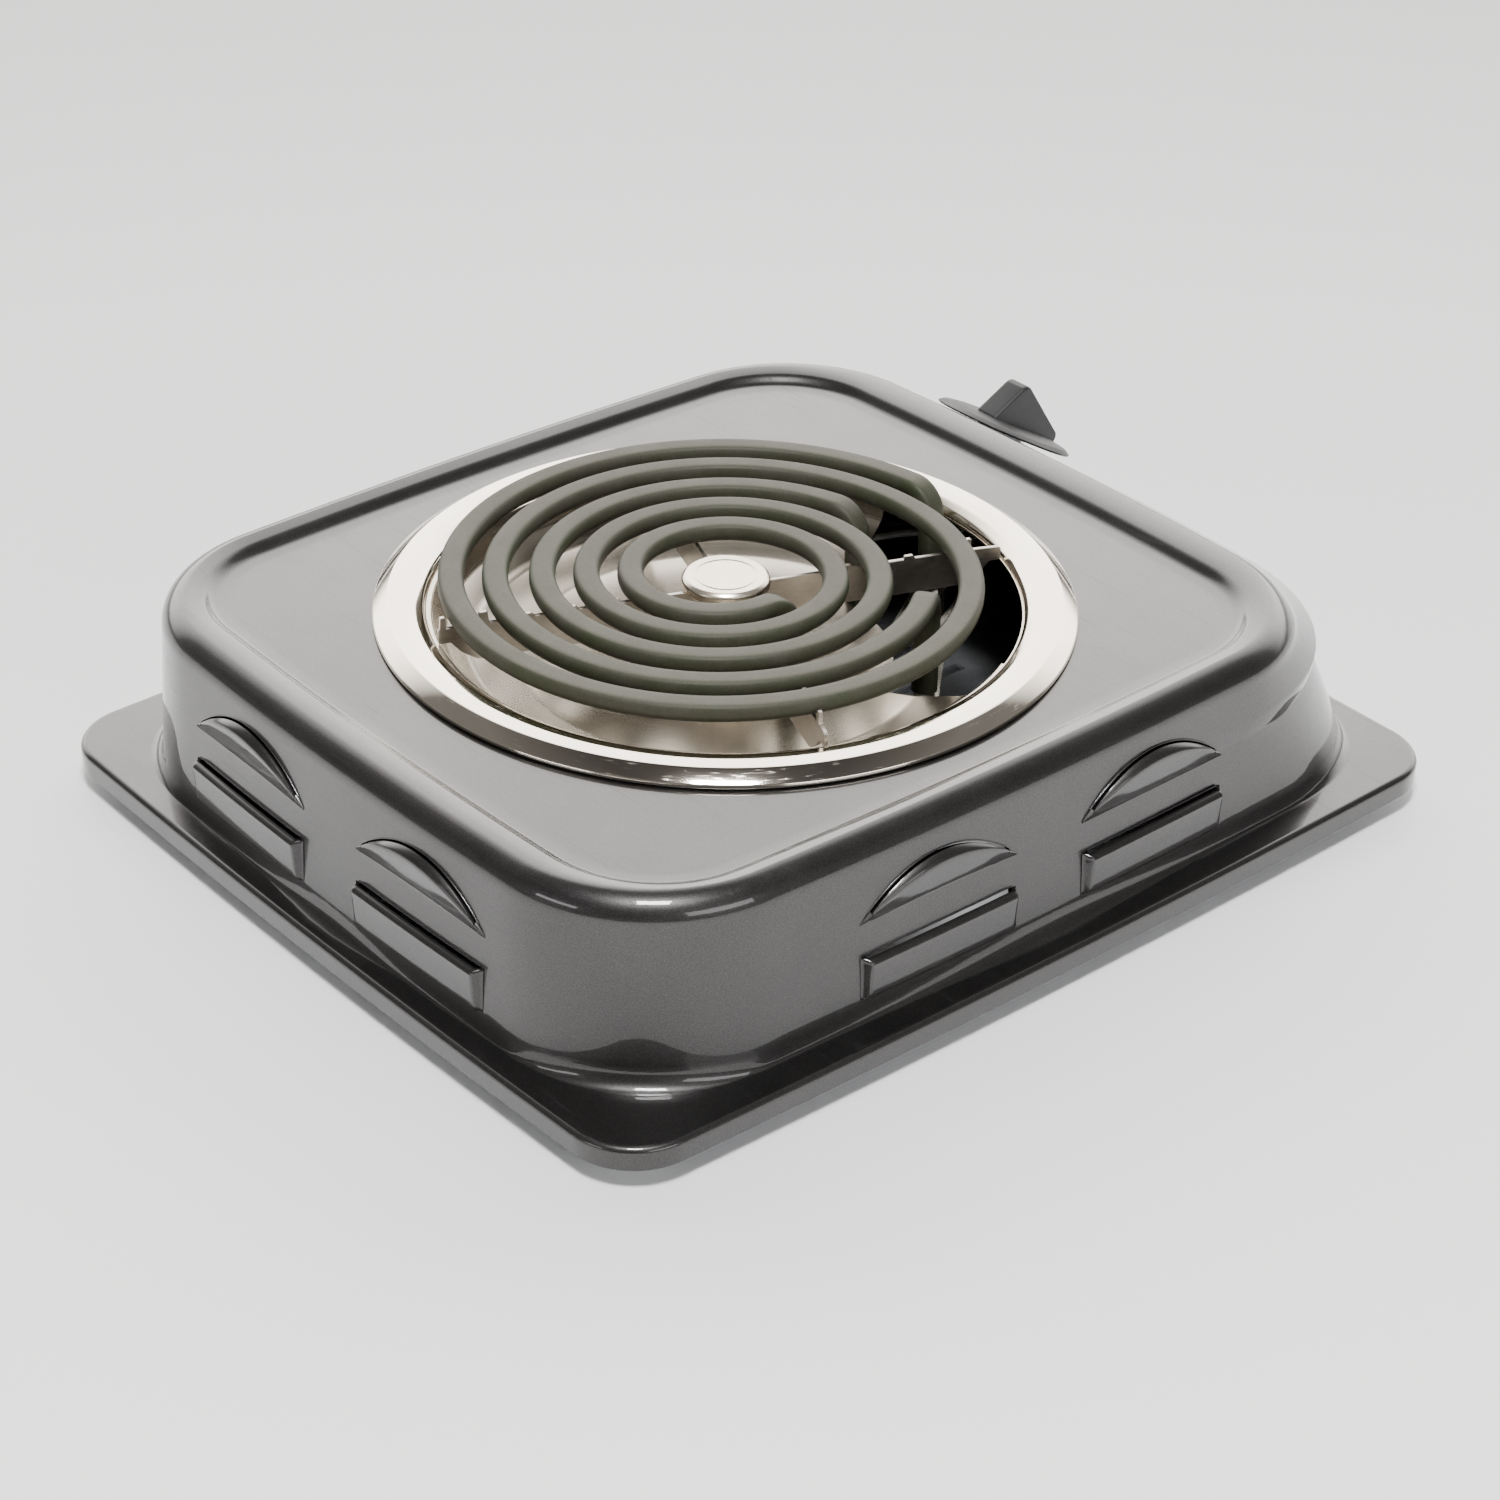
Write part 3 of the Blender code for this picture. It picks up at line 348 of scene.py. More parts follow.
def zinc_plate():
    """Passivated zinc: a pale blue-grey with large soft spangles."""
    zinc = Finish("zinc_plate", Metallic=0.9, Roughness=0.4)
    spangle = zinc.cells(95.0)
    fine = zinc.noise(700.0, 4.0)
    tone = zinc.ramp(spangle, (0.0, (0.56, 0.58, 0.61)), (0.7, (0.40, 0.42, 0.45)))
    zinc.set("Base Color", zinc.mix(0.25, tone, zinc.ramp(fine, (0.3, 0.36), (0.7, 0.62))))
    zinc.set("Roughness", zinc.math("ADD", zinc.math("MULTIPLY", fine, 0.2), 0.3))
    zinc.relief(fine, 0.02, 0.4)
    return zinc.material


def moulded(name, colour, roughness, pore_scale, depth_mm, specular=0.5):
    """Moulded plastic, rubber or fired ceramic: a fine grain, cloudy tone and slightly uneven gloss."""
    body = Finish(name, Roughness=roughness, Specular_IOR_Level=specular)
    pores = body.noise(pore_scale, 5.0, 0.6)
    cloud = body.noise(70.0, 4.0)
    lighter = tuple(min(c * 1.35 + 0.006, 1.0) for c in colour)
    base = body.mix(body.ramp(cloud, (0.3, 0.0), (0.75, 1.0)), colour, lighter)
    speck = body.ramp(pores, (0.3, (0.82, 0.82, 0.82)), (0.6, (1.0, 1.0, 1.0)))
    body.set("Base Color", body.mix(1.0, base, speck, "MULTIPLY"))
    body.set("Roughness", body.math("ADD", body.math("MULTIPLY", cloud, 0.16), roughness - 0.08))
    body.relief(pores, depth_mm, 0.5)
    return body.material


def braided(name, colour):
    """Woven glass sleeve: two crossing sets of threads."""
    sleeve = Finish(name, Roughness=0.75, Sheen_Weight=0.3)
    threads = []
    for turn in (0.8, -0.8):
        along = sleeve.stretched((1.0, 1.0, 1.0), (turn, turn, turn))
        wave = sleeve.add("TexWave", Vector=along, Scale=420.0, Distortion=1.2, Detail=2.0)
        threads.append(wave.outputs["Fac"])
    weave = sleeve.math("MAXIMUM", threads[0], threads[1])
    dark = tuple(c * 0.5 for c in colour)
    sleeve.set("Base Color", sleeve.mix(sleeve.ramp(weave, (0.35, 0.0), (0.8, 1.0)), dark, colour))
    sleeve.set("Roughness", sleeve.math("ADD", sleeve.math("MULTIPLY", weave, 0.12), 0.66))
    sleeve.relief(weave, 0.12, 0.6)
    return sleeve.material


# ---------------------------------------------------------------- mesh helpers


def to_object(name, points, faces, material, sharp=26.0, moved=True):
    """Makes one object from points in the housing's millimetres, closed, smooth and facing out."""
    mesh = bpy.data.meshes.new(name)
    mesh.from_pydata([place(p) if moved else Vector(p) for p in points], [], faces)
    work = bmesh.new()
    work.from_mesh(mesh)
    bmesh.ops.remove_doubles(work, verts=work.verts, dist=1e-7)
    bmesh.ops.dissolve_degenerate(work, dist=1e-7, edges=work.edges)
    bmesh.ops.recalc_face_normals(work, faces=work.faces)
    work.to_mesh(mesh)
    work.free()
    mesh.shade_smooth()
    mesh.set_sharp_from_angle(angle=math.radians(sharp))
    obj = bpy.data.objects.new(name, mesh)
    bpy.context.scene.collection.objects.link(obj)
    mesh.materials.append(material)
    return obj


def apply_modifiers(obj):
    graph = bpy.context.evaluated_depsgraph_get()
    mesh = bpy.data.meshes.new_from_object(obj.evaluated_get(graph), depsgraph=graph)
    obj.modifiers.clear()
    obj.data = mesh


def cut_or_join(target, operation, points, faces):
    """Applies one Boolean with a tool given as points and faces, and removes the tool."""
    tool = to_object(target.name + "_tool", points, faces, target.data.materials[0])
    step = target.modifiers.new(operation.lower(), "BOOLEAN")
    step.operation = operation
    step.solver = "EXACT"
    step.object = tool
    apply_modifiers(target)
    bpy.data.objects.remove(tool, do_unlink=True)


def finish_shading(obj, sharp, bevel_mm=0.0):
    """Sets sharp edges again after Booleans, rounds them if asked, and keeps large faces flat."""
    obj.data.shade_smooth()
    obj.data.set_sharp_from_angle(angle=math.radians(sharp))
    if bevel_mm:
        bevel = obj.modifiers.new("bevel", "BEVEL")
        bevel.width = bevel_mm * MM
        bevel.segments = 2
        bevel.limit_method = "ANGLE"
        bevel.angle_limit = math.radians(40.0)
        bevel.harden_normals = True
    weighted = obj.modifiers.new("normals", "WEIGHTED_NORMAL")
    weighted.keep_sharp = True
    apply_modifiers(obj)


def loft(rings, wrap=False):
    """Joins rings of equal length into one skin, capped at both ends or wrapped back to the first."""
    count = len(rings[0])
    points = [p for ring in rings for p in ring]
    faces = []
    for i in range(len(rings) if wrap else len(rings) - 1):
        a = i * count
        b = ((i + 1) % len(rings)) * count
        for j in range(count):
            k = (j + 1) % count
            faces.append((a + j, a + k, b + k, b + j))
    if not wrap:
        faces.append(tuple(range(count))[::-1])
        faces.append(tuple((len(rings) - 1) * count + j for j in range(count)))
    return points, faces


def merge(*shapes):
    points = []
    faces = []
    for some_points, some_faces in shapes:
        base = len(points)
        points.extend(some_points)
        faces.extend(tuple(base + i for i in face) for face in some_faces)
    return points, faces


def lathe(profile, steps, matrix):
    """Turns a closed (radius, height) profile about Z, then moves it."""
    rings = []
    for i in range(steps):
        turn = 2 * math.pi * i / steps
        rings.append([matrix @ Vector((r * math.cos(turn), r * math.sin(turn), z)) for r, z in profile])
    return loft(rings, wrap=True)


def prism(outline, low, high, matrix=None):
    """Stands an outline up between two heights, then moves it."""
    matrix = matrix or Matrix.Identity(4)
    return loft([[matrix @ Vector((x, y, z)) for x, y in outline] for z in (low, high)])


def circle(radius, steps, centre=(0.0, 0.0)):
    turns = [2 * math.pi * i / steps for i in range(steps)]
    return [(centre[0] + radius * math.cos(t), centre[1] + radius * math.sin(t)) for t in turns]


def round_corners(corners, steps):
    """A closed outline from (x, y, radius) corners, each replaced by a smooth curve of about that radius."""
    outline = []
    for i, (x, y, radius) in enumerate(corners):
        at = Vector((x, y))
        before = Vector(corners[i - 1][:2]) - at
        after = Vector(corners[(i + 1) % len(corners)][:2]) - at
        if radius <= 0.0:
            outline.append((x, y))
            continue
        half = before.angle(after) / 2
        reach = min(radius / math.tan(half), before.length * 0.49, after.length * 0.49)
        start = at + before.normalized() * reach
        end = at + after.normalized() * reach
        for j in range(steps + 1):
            t = j / steps
            point = start * (1 - t) ** 2 + at * (2 * t * (1 - t)) + end * t * t
            outline.append((point.x, point.y))
    return outline


def sweep(path, section, start_side):
    """Carries a section along a path. While the path is level, the section's first axis stays horizontal."""
    rings = []
    side = Vector(start_side)
    for i, point in enumerate(path):
        ahead = (path[min(i + 1, len(path) - 1)] - path[max(i - 1, 0)]).normalized()
        if abs(ahead.z) < 0.5:
            side = Vector((0.0, 0.0, 1.0)).cross(ahead)
        side = (side - ahead * side.dot(ahead)).normalized()
        other = ahead.cross(side)
        rings.append([point + side * a + other * b for a, b in section])
    return loft(rings)


# ---------------------------------------------------------------- housing


def rounded(half_x, back, front, r_back, r_front, bow, z):
    """A rectangle with bowed sides and round corners, counter-clockwise from the +X side."""
    corners = (
        (half_x - r_back, back - r_back, r_back, 0.0),
        (-half_x + r_back, back - r_back, r_back, 90.0),
        (-half_x + r_front, front + r_front, r_front, 180.0),
        (half_x - r_front, front + r_front, r_front, 270.0),
    )
    points = []
    for index, (cx, cy, radius, first) in enumerate(corners):
        arc = []
        for i in range(CORNER_STEPS + 1):
            turn = math.radians(first + 90.0 * i / CORNER_STEPS)
            arc.append(Vector((cx + radius * math.cos(turn), cy + radius * math.sin(turn))))
        points.extend(arc)
        nx, ny, n_radius, n_first = corners[(index + 1) % 4]
        turn = math.radians(n_first)
        end = Vector((nx + n_radius * math.cos(turn), ny + n_radius * math.sin(turn)))
        out = Vector((math.cos(math.radians(first + 90.0)), math.sin(math.radians(first + 90.0))))
        for i in range(1, SIDE_STEPS + 1):
            t = i / (SIDE_STEPS + 1)
            points.append(arc[-1].lerp(end, t) + out * (bow * (1 - (2 * t - 1) ** 2)))
    return [Vector((p.x, p.y, z)) for p in points]


def well_ring(radius, z, like):
    """A circle round the hob's axis, with its points in the directions of another ring's points."""
    ring = []
    for p in like:
        away = Vector((p.x - HOB[0], p.y - HOB[1])).normalized() * radius
        ring.append(Vector((HOB[0] + away.x, HOB[1] + away.y, z)))
    return ring


def front_at(z):
    """How far forward the front stands at a height: rim, sloped panel, then the upright shelf."""
    slope_y = SLOPE_TOP[0] - (SLOPE_TOP[1] - z) / math.tan(SLOPE_ANGLE)
    slope_end = SLOPE_TOP[0] - (SLOPE_TOP[1] - SLOPE_END_Z) / math.tan(SLOPE_ANGLE)
    if z < SLOPE_END_Z:
        t = min((SLOPE_END_Z - z) / SHELF_ROUND, 1.0)
        below = max(SLOPE_END_Z - SHELF_ROUND - z, 0.0)
        return slope_end + (SHELF_FRONT - slope_end) * math.sin(t * math.pi / 2) - below * 0.06
    rise = min(max((z - RIM_Z + RIM_FILLET) / RIM_FILLET, 0.0), 1.0)
    rim_y = BODY_FRONT + RIM_FILLET - RIM_FILLET * math.sqrt(1.0 - rise * rise)
    overlap = max(CREASE - abs(slope_y - rim_y), 0.0) / CREASE
    return min(slope_y, rim_y) - overlap * overlap * CREASE / 4


def front_flare(z):
    """How much larger the front corners' radius is at a height: most where the slope ends."""
    middle = SLOPE_END_Z - SHELF_ROUND
    if z > middle:
        return FLARE_R * max(SLOPE_TOP[1] - z, 0.0) / (SLOPE_TOP[1] - middle)
    return FLARE_R * max(z - FLANGE_TOP, 0.0) / (middle - FLANGE_TOP)


def body_ring(z, inward=0.0):
    """The outline of the wall at a height, with the rim's rounding, the draft and the front's shape."""
    if z > RIM_Z - RIM_FILLET:
        bend = math.acos(min(max((z - RIM_Z + RIM_FILLET) / RIM_FILLET, 0.0), 1.0))
        out = -RIM_FILLET + RIM_FILLET * math.sin(bend)
    else:
        out = (RIM_Z - RIM_FILLET - z) * DRAFT
    corner = BODY_R + out
    return rounded(BODY_X + out - inward, BODY_BACK + out - inward, front_at(z) + inward, corner - inward,
                   corner + front_flare(z) - inward, BODY_BOW, z)


def panel_ring(offset, z):
    corner = PANEL_R + offset
    return rounded(PANEL_X + offset, PANEL_CY + PANEL_Y + offset, PANEL_CY - PANEL_Y - offset, corner, corner,
                   BODY_BOW, z)


def flange_ring(inset, z):
    return rounded(FLANGE_X - inset, FLANGE_Y - inset, -FLANGE_Y + inset, FLANGE_R - inset, FLANGE_R - inset,
                   FLANGE_BOW, z)


def toward(ring, goal, distance, z):
    """Moves each point of a ring a fixed distance towards the goal ring, and never quite as far as it."""
    moved = []
    for p, q in zip(ring, goal):
        way = Vector((q.x - p.x, q.y - p.y))
        step = min(distance, way.length * 0.94)
        way = way.normalized() * step
        moved.append(Vector((p.x + way.x, p.y + way.y, z)))
    return moved


def outer_skin():
    """Rings of the outer face, from the hob well over the rim and down to the foot of the lip."""
    flat = panel_ring(0.0, PANEL_Z)
    rings = [well_ring(WELL_R, PANEL_Z, flat), panel_ring(-6.0, PANEL_Z)]
    groove = round_corners(((-4.6, PANEL_Z, 0.0), (-0.7, PANEL_Z + 0.25, 4.0), (1.6, PANEL_Z + 2.4, 4.0),
                            (5.6, PANEL_Z + 3.4, 0.0)), 7)
    rings += [panel_ring(offset, z) for offset, z in groove]
    for i in range(9):
        bend = math.radians(9.0 + 9.0 * i)
        rings.append(body_ring(RIM_Z - RIM_FILLET * (1 - math.cos(bend))))
    heights = [RIM_Z - RIM_FILLET, 50.5, 48.0, 45.0, 43.0, 42.0]
    heights += [SLOPE_END_Z - SHELF_ROUND * i / 8 for i in range(9)]
    heights += [32.0, 28.0, 24.0, 20.0, 16.0, WALL_FOOT]
    rings += [body_ring(z) for z in heights]
    foot = body_ring(WALL_FOOT)
    edge = flange_ring(LIP_ROUND, FLANGE_TOP)
    for i in range(1, 8):
        turn = math.radians(90.0 * i / 7)
        z = FLANGE_TOP + (WALL_FOOT - FLANGE_TOP) * (1 - math.sin(turn))
        rings.append(toward(foot, edge, FOOT_FILLET * (1 - math.cos(turn)), z))
    for i in range(7):
        turn = math.radians(15.0 * i)
        drop = LIP_ROUND * (1 - math.cos(turn))
        rings.append(flange_ring(LIP_ROUND * (1 - math.sin(turn)), FLANGE_TOP - drop))
    rings.append(flange_ring(0.0, 0.3))
    rings.append(flange_ring(0.3, 0.0))
    return rings


def inner_skin():
    """Rings of the inner face, from the lip back up to the well."""
    edge = flange_ring(LIP_ROUND, FLANGE_TOP)
    rings = [flange_ring(SHEET, 0.0), flange_ring(SHEET, FLANGE_TOP - 2.2)]
    rings.append(flange_ring(2.2, FLANGE_TOP - SHEET))
    rings.append(toward(body_ring(WALL_FOOT, SHEET), edge, FOOT_FILLET * 0.8, FLANGE_TOP - SHEET))
    for z in (WALL_FOOT - 1.0, 27.0, SLOPE_END_Z - SHELF_ROUND, 38.0, SLOPE_END_Z - 0.6, 47.0, 52.8, 55.6):
        rings.append(body_ring(z, SHEET + (0.35 if z > 36 else 0.0)))
    rings.append(panel_ring(1.0, PANEL_Z + 1.6))
    rings.append(panel_ring(-1.2, PANEL_Z - SHEET))
    rings.append(well_ring(WELL_R, PANEL_Z - SHEET, panel_ring(0.0, PANEL_Z)))
    return rings


def wall_point(side, along, z, out):
    """A point on a wall, or out from it. along runs from the middle of that wall's louvres."""
    draft = (RIM_Z - RIM_FILLET - z) * DRAFT
    if side == "back":
        reach = BODY_X - BODY_R
        return Vector((-along, BODY_BACK + draft + BODY_BOW * (1 - (along / reach) ** 2) + out, z))
    middle = (BODY_BACK + front_at(z)) / 2
    reach = (BODY_BACK - front_at(z)) / 2 - BODY_R
    y = along + SIDE_VENT_SHIFT
    lift = BODY_BOW * (1 - min(((y - middle) / reach) ** 2, 1.0))
    x = BODY_X + draft + lift + out
    return Vector((-x if side == "left" else x, y, z))


def arch(s):
    """How high a half moon stands along its length, as a share of its middle."""
    return 1 - 0.95 * s * s


def moon_top(s):
    return VENT_CHORD_Z + VENT_ARC * arch(s)


def tab_top(_):
    return VENT_TAB_TOP


def hood(side, centre, rows, stations, height_at, proud_at):
    """A pressed-out hood. rows are (share of its height, share of its reach); both vary along its length."""
    grid = []
    for share, reach in rows:
        grid.append([(s * VENT_W, height_at(s, share), proud_at(s) * reach) for s in stations])
    across = len(stations)
    points = [wall_point(side, centre + a, z, out) for row in grid for a, z, out in row]
    front = len(points)
    lip = [(a, z * 0.7 + under[1] * 0.3, out) for (a, z, out), under in zip(grid[-1], grid[-2])]
    points += [wall_point(side, centre + a, z, -VENT_ROOT) for row in grid[:-1] + [lip] for a, z, _ in row]
    faces = []
    for r in range(len(rows) - 1):
        for i in range(across - 1):
            a = r * across + i
            b = front + a
            faces.append((a, a + 1, a + across + 1, a + across))
            faces.append((b, b + across, b + across + 1, b + 1))
        for i in (0, across - 1):
            a = r * across + i
            faces.append((a, a + across, front + a + across, front + a))
    top = (len(rows) - 1) * across
    for i in range(across - 1):
        faces.append((i, front + i, front + i + 1, i + 1))
        faces.append((top + i, top + i + 1, front + top + i + 1, front + top + i))
    return points, faces


HOOD_ROWS = ((0.0, -0.03), (0.1, 0.12), (0.3, 0.38), (0.5, 0.64), (0.65, 0.84), (0.75, 0.96), (0.8, 1.0),
             (0.84, 0.99), (0.88, 0.92), (0.92, 0.79), (0.96, 0.58), (0.985, 0.4), (1.0, 0.26))
TAB_ROWS = ((0.0, -0.05), (0.02, 0.2), (0.05, 0.42), (0.1, 0.55), (0.2, 0.61), (0.5, 0.76), (0.8, 0.92),
            (0.86, 0.98), (0.9, 1.0), (0.93, 0.96), (0.955, 0.87), (0.975, 0.74), (0.99, 0.6), (1.0, 0.45))


def half_moon(side, centre):
    stations = [math.sin(math.pi / 2 * (-1 + 2 * i / 36)) for i in range(37)]
    return hood(side, centre, HOOD_ROWS, stations,
                lambda s, share: VENT_CHORD_Z + VENT_ARC * share * arch(s),
                lambda s: VENT_PROUD * arch(s) ** 0.85)


def straight_tab(side, centre):
    ends = [1.0, 0.99, 0.98, 0.97, 0.955, 0.94, 0.92, 0.9, 0.7, 0.45, 0.2]
    stations = [-s for s in ends] + [0.0] + ends[::-1]

    def proud_at(s):
        t = min(max((1.0 - abs(s)) / 0.075, 0.0), 1.0)
        return VENT_PROUD * (0.1 + 0.9 * t * t * (3 - 2 * t))

    return hood(side, centre, TAB_ROWS, stations,
                lambda s, share: VENT_TAB_LOW + (VENT_TAB_TOP - VENT_TAB_LOW) * share, proud_at)


def vent_slot(side, centre, top_at, depth, over, half_width):
    """The opening behind a hood's lip, from inside the wall to just short of the lip."""
    steps = 28
    rings = []
    for i in range(steps + 1):
        s = (-1 + 2 * i / steps) * half_width / VENT_W
        a = centre + s * VENT_W
        top = top_at(s)
        rings.append([wall_point(side, a, top - depth, -3.0), wall_point(side, a, top - depth, 1.0),
                      wall_point(side, a, top + over, 1.0), wall_point(side, a, top + over, -3.0)])
    return loft(rings)


def vent_burr(side, centre, top_at, above, half_width):
    """The thin bright edge that the punch leaves along the top of an opening."""
    steps = 40
    out = Vector(WALL_OUT[side])
    path = []
    for i in range(steps + 1):
        s = (-1 + 2 * i / steps) * half_width / VENT_W
        path.append(wall_point(side, centre + s * VENT_W, top_at(s) + above, 0.0))
    section = circle(0.25, 8)
    rings = []
    for i, point in enumerate(path):
        ahead = (path[min(i + 1, steps)] - path[max(i - 1, 0)]).normalized()
        rings.append([point + out * a + ahead.cross(out) * b for a, b in section])
    return loft(rings)


def control_place():
    """The knob's axis: Z out of the sloped panel, Y up the slope."""
    out = Vector((0.0, -math.sin(SLOPE_ANGLE), math.cos(SLOPE_ANGLE)))
    up = Vector((0.0, math.cos(SLOPE_ANGLE), math.sin(SLOPE_ANGLE)))
    foot = Vector((KNOB_X, SLOPE_TOP[0], SLOPE_TOP[1])) - up * KNOB_DOWN + out * KNOB_OUT
    matrix = Matrix((Vector((1.0, 0.0, 0.0)), up, out)).transposed().to_4x4()
    matrix.translation = foot
    return matrix


def cord_hole_place():
    matrix = Matrix(((0, 0, 1), (1, 0, 0), (0, 1, 0))).to_4x4()
    matrix.translation = wall_point("right", -SIDE_VENT_SHIFT, CORD_HOLE_Z, 0.0)
    return matrix


def build_housing(paint):
    """The pressed shell: its skin, the louvres joined on and opened, and the two round holes."""
    shell = to_object("housing_skin", *loft(outer_skin() + inner_skin(), wrap=True), paint)
    hoods = []
    slots = []
    burrs = []
    for side in WALL_OUT:
        for centre in VENT_CENTRES:
            hoods.append(half_moon(side, centre))
            hoods.append(straight_tab(side, centre))
            slots.append(vent_slot(side, centre, moon_top, 1.2, 0.12, VENT_W * 0.88))
            slots.append(vent_slot(side, centre, tab_top, 2.4, 0.5, VENT_W * 0.93))
            burrs.append(vent_burr(side, centre, moon_top, 0.25, VENT_W * 0.9))
            burrs.append(vent_burr(side, centre, tab_top, 0.65, VENT_W * 0.94))
    cut_or_join(shell, "UNION", *merge(*hoods))
    cut_or_join(shell, "DIFFERENCE", *merge(*slots))
    cut_or_join(shell, "DIFFERENCE", *merge(prism(circle(SHAFT_HOLE_R, 40), -8.0, 8.0, control_place()),
                                            prism(circle(CORD_HOLE_R, 48), -6.0, 6.0, cord_hole_place())))
    finish_shading(shell, 24.0)
    edges = to_object("vent_edges", *merge(*burrs), paint, 60.0)
    for piece in (shell, edges):
        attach(piece, "base")
    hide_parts("housing")


# ---------------------------------------------------------------- hob


def hob_matrix():
    return Matrix.Translation((HOB[0], HOB[1], 0.0))


def keep(piece, slot, *nodes, body="base"):
    """Registers a finished piece with its body and hides the CAD nodes it stands for. The slot is not used."""
    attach(piece, body)
    if nodes:
        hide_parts(*nodes)
    return piece


def build_ring(chrome):
    corners = ((RING_OUT - 0.6, 56.4, 0.2), (RING_OUT, 56.5, 0.2), (RING_OUT, 57.5, 0.8), (94.3, 60.3, 1.4),
               (90.0, 60.45, 4.0), (87.0, 60.1, 4.0), (84.4, 58.8, 2.0), (RING_IN, 57.3, 0.3),
               (RING_IN + 0.8, 57.2, 0.3), (86.0, 59.0, 2.0), (91.5, 59.8, 4.0), (97.2, 57.9, 1.0))
    ring = to_object("trim_ring_fine", *lathe(round_corners(corners, 4), 180, hob_matrix()), chrome, 50.0)
    keep(ring, "ring_chrome", "trim_ring")


def build_pan(steel):
    """The drip bowl: a flange under the ring, a deep dish, a raised eye, a cut-out window and two holes."""
    top = ((96.0, 57.0, 0.3), (82.0, 57.0, 0.9), (80.6, 54.6, 2.0), (78.6, 49.8, 4.0), (72.0, 44.2, 8.0),
           (58.0, 40.4, 12.0), (34.0, 38.4, 8.0), (15.2, 37.7, 1.0), (14.2, 38.5, 0.6), (12.0, 38.5, 0.3))
    low = tuple((r + (0.5 if r > 60 else 0.0), z - PAN_SHEET, radius) for r, z, radius in top[::-1])
    pan = to_object("drip_pan_fine", *lathe(round_corners(top + low, 4), 140, hob_matrix()), steel, 50.0)
    first, last = PAN_WINDOW_ANGLES
    turns = [math.radians(first + (last - first) * i / 26) for i in range(27)]
    inner, outer = PAN_WINDOW_R
    window = [(inner, turn) for turn in turns] + [(outer, turn) for turn in turns[::-1]]
    outline = [(HOB[0] + r * math.cos(turn), HOB[1] + r * math.sin(turn)) for r, turn in window]
    foot = leg(INNER_TURNS, INNER_TURNS[2], 1)[-1]
    cut_or_join(pan, "DIFFERENCE", *merge(prism(outline, 30.0, 60.0),
                                          prism(circle(5.6, 32, (foot.x, foot.y)), 30.0, 45.0),
                                          prism(circle(2.6, 24, PAN_DRAIN), 30.0, 50.0)))
    finish_shading(pan, 40.0)
    keep(pan, "pan_steel", "drip_pan")


def spiral_point(turns, angle):
    """A point of an element's middle line, which nears the axis by one pitch in each turn."""
    r = turns[0] - PITCH * (angle - turns[1]) / 360.0
    turn = math.radians(angle)
    return Vector((COIL[0] + r * math.cos(turn), COIL[1] + r * math.sin(turn), COIL_Z))


def leg(turns, angle, way):
    """The bend at one end of an element: a quarter turn down, then straight to the terminal."""
    at = spiral_point(turns, angle)
    ahead = (spiral_point(turns, angle + way) - at).normalized()
    points = []
    for i in range(1, 13):
        turn = math.pi / 2 * i / 12
        down = Vector((0.0, 0.0, LEG_BEND * (1 - math.cos(turn))))
        points.append(at + ahead * (LEG_BEND * math.sin(turn)) - down)
    foot = points[-1]
    points.append(Vector((foot.x, foot.y, (foot.z + LEG_END_Z) / 2)))
    points.append(Vector((foot.x, foot.y, LEG_END_Z)))
    return points


def tube_section():
    """A round tube pressed flat on its top."""
    section = []
    for i in range(24):
        turn = 2 * math.pi * (i + 0.5) / 24
        rise = math.sin(turn)
        flat = TUBE_TOP * (1 - (1 - rise) ** 2.2) if rise > 0 else TUBE_LOW * rise
        section.append((TUBE_HALF * math.copysign(abs(math.cos(turn)) ** 0.85, math.cos(turn)), flat))
    return section


def build_element(name, turns, sheath):
    first = leg(turns, turns[1], -1)
    last = leg(turns, turns[2], 1)
    steps = int((turns[2] - turns[1]) / 3.0)
    spiral = [spiral_point(turns, turns[1] + (turns[2] - turns[1]) * i / steps) for i in range(steps + 1)]
    path = first[::-1] + spiral + last
    side = Vector((0.0, 0.0, 1.0)).cross(spiral[1] - spiral[0])
    element = to_object(name + "_fine", *sweep(path, tube_section(), side), sheath, 50.0)
    keep(element, "element_sheath", name)


def crossings(angle, way):
    """Where the turns cross one arm, measured from the hob's axis along the arm."""
    along = Vector((math.cos(math.radians(angle)), math.sin(math.radians(angle)), 0.0))
    found = []
    for turns in (OUTER_TURNS, INNER_TURNS):
        at = (angle if way == 1 else angle + 180.0) - 720.0
        while at < turns[2]:
            if at > turns[1] - 3.0:
                found.append((spiral_point(turns, at) - Vector((HOB[0], HOB[1], 0.0))).dot(along) * way)
            at += 360.0
    return sorted(found)


def half_arm(angle, way):
    """Half of a strip's outline, with a tab standing up between each pair of turns."""
    turns = crossings(angle, way)
    outline = []
    for mark in [(a + b) / 2 for a, b in zip(turns, turns[1:])]:
        top = NIB_TOP if mark < 66.0 else TAB_TOP
        outline += [(mark - 1.7, ARM_TOP, 0.4), (mark - 1.2, top, 0.5), (mark + 1.2, top, 0.5),
                    (mark + 1.7, ARM_TOP, 0.4)]
    tip = turns[-1] + TUBE_HALF + 0.7
    if tip + 1.5 < ARM_REACH:
        outline += [(tip, ARM_TOP, 0.0), (tip + 0.1, TAB_TOP, 0.5), (tip + 1.6, TAB_TOP, 0.5),
                    (tip + 1.8, ARM_TOP, 0.3)]
    return outline + [(ARM_REACH, ARM_TOP - 0.4, 1.0), (ARM_REACH, 57.35, 0.6), (79.4, 57.35, 0.8),
                      (76.4, 54.0, 2.0), (72.0, ARM_LOW, 3.0)]


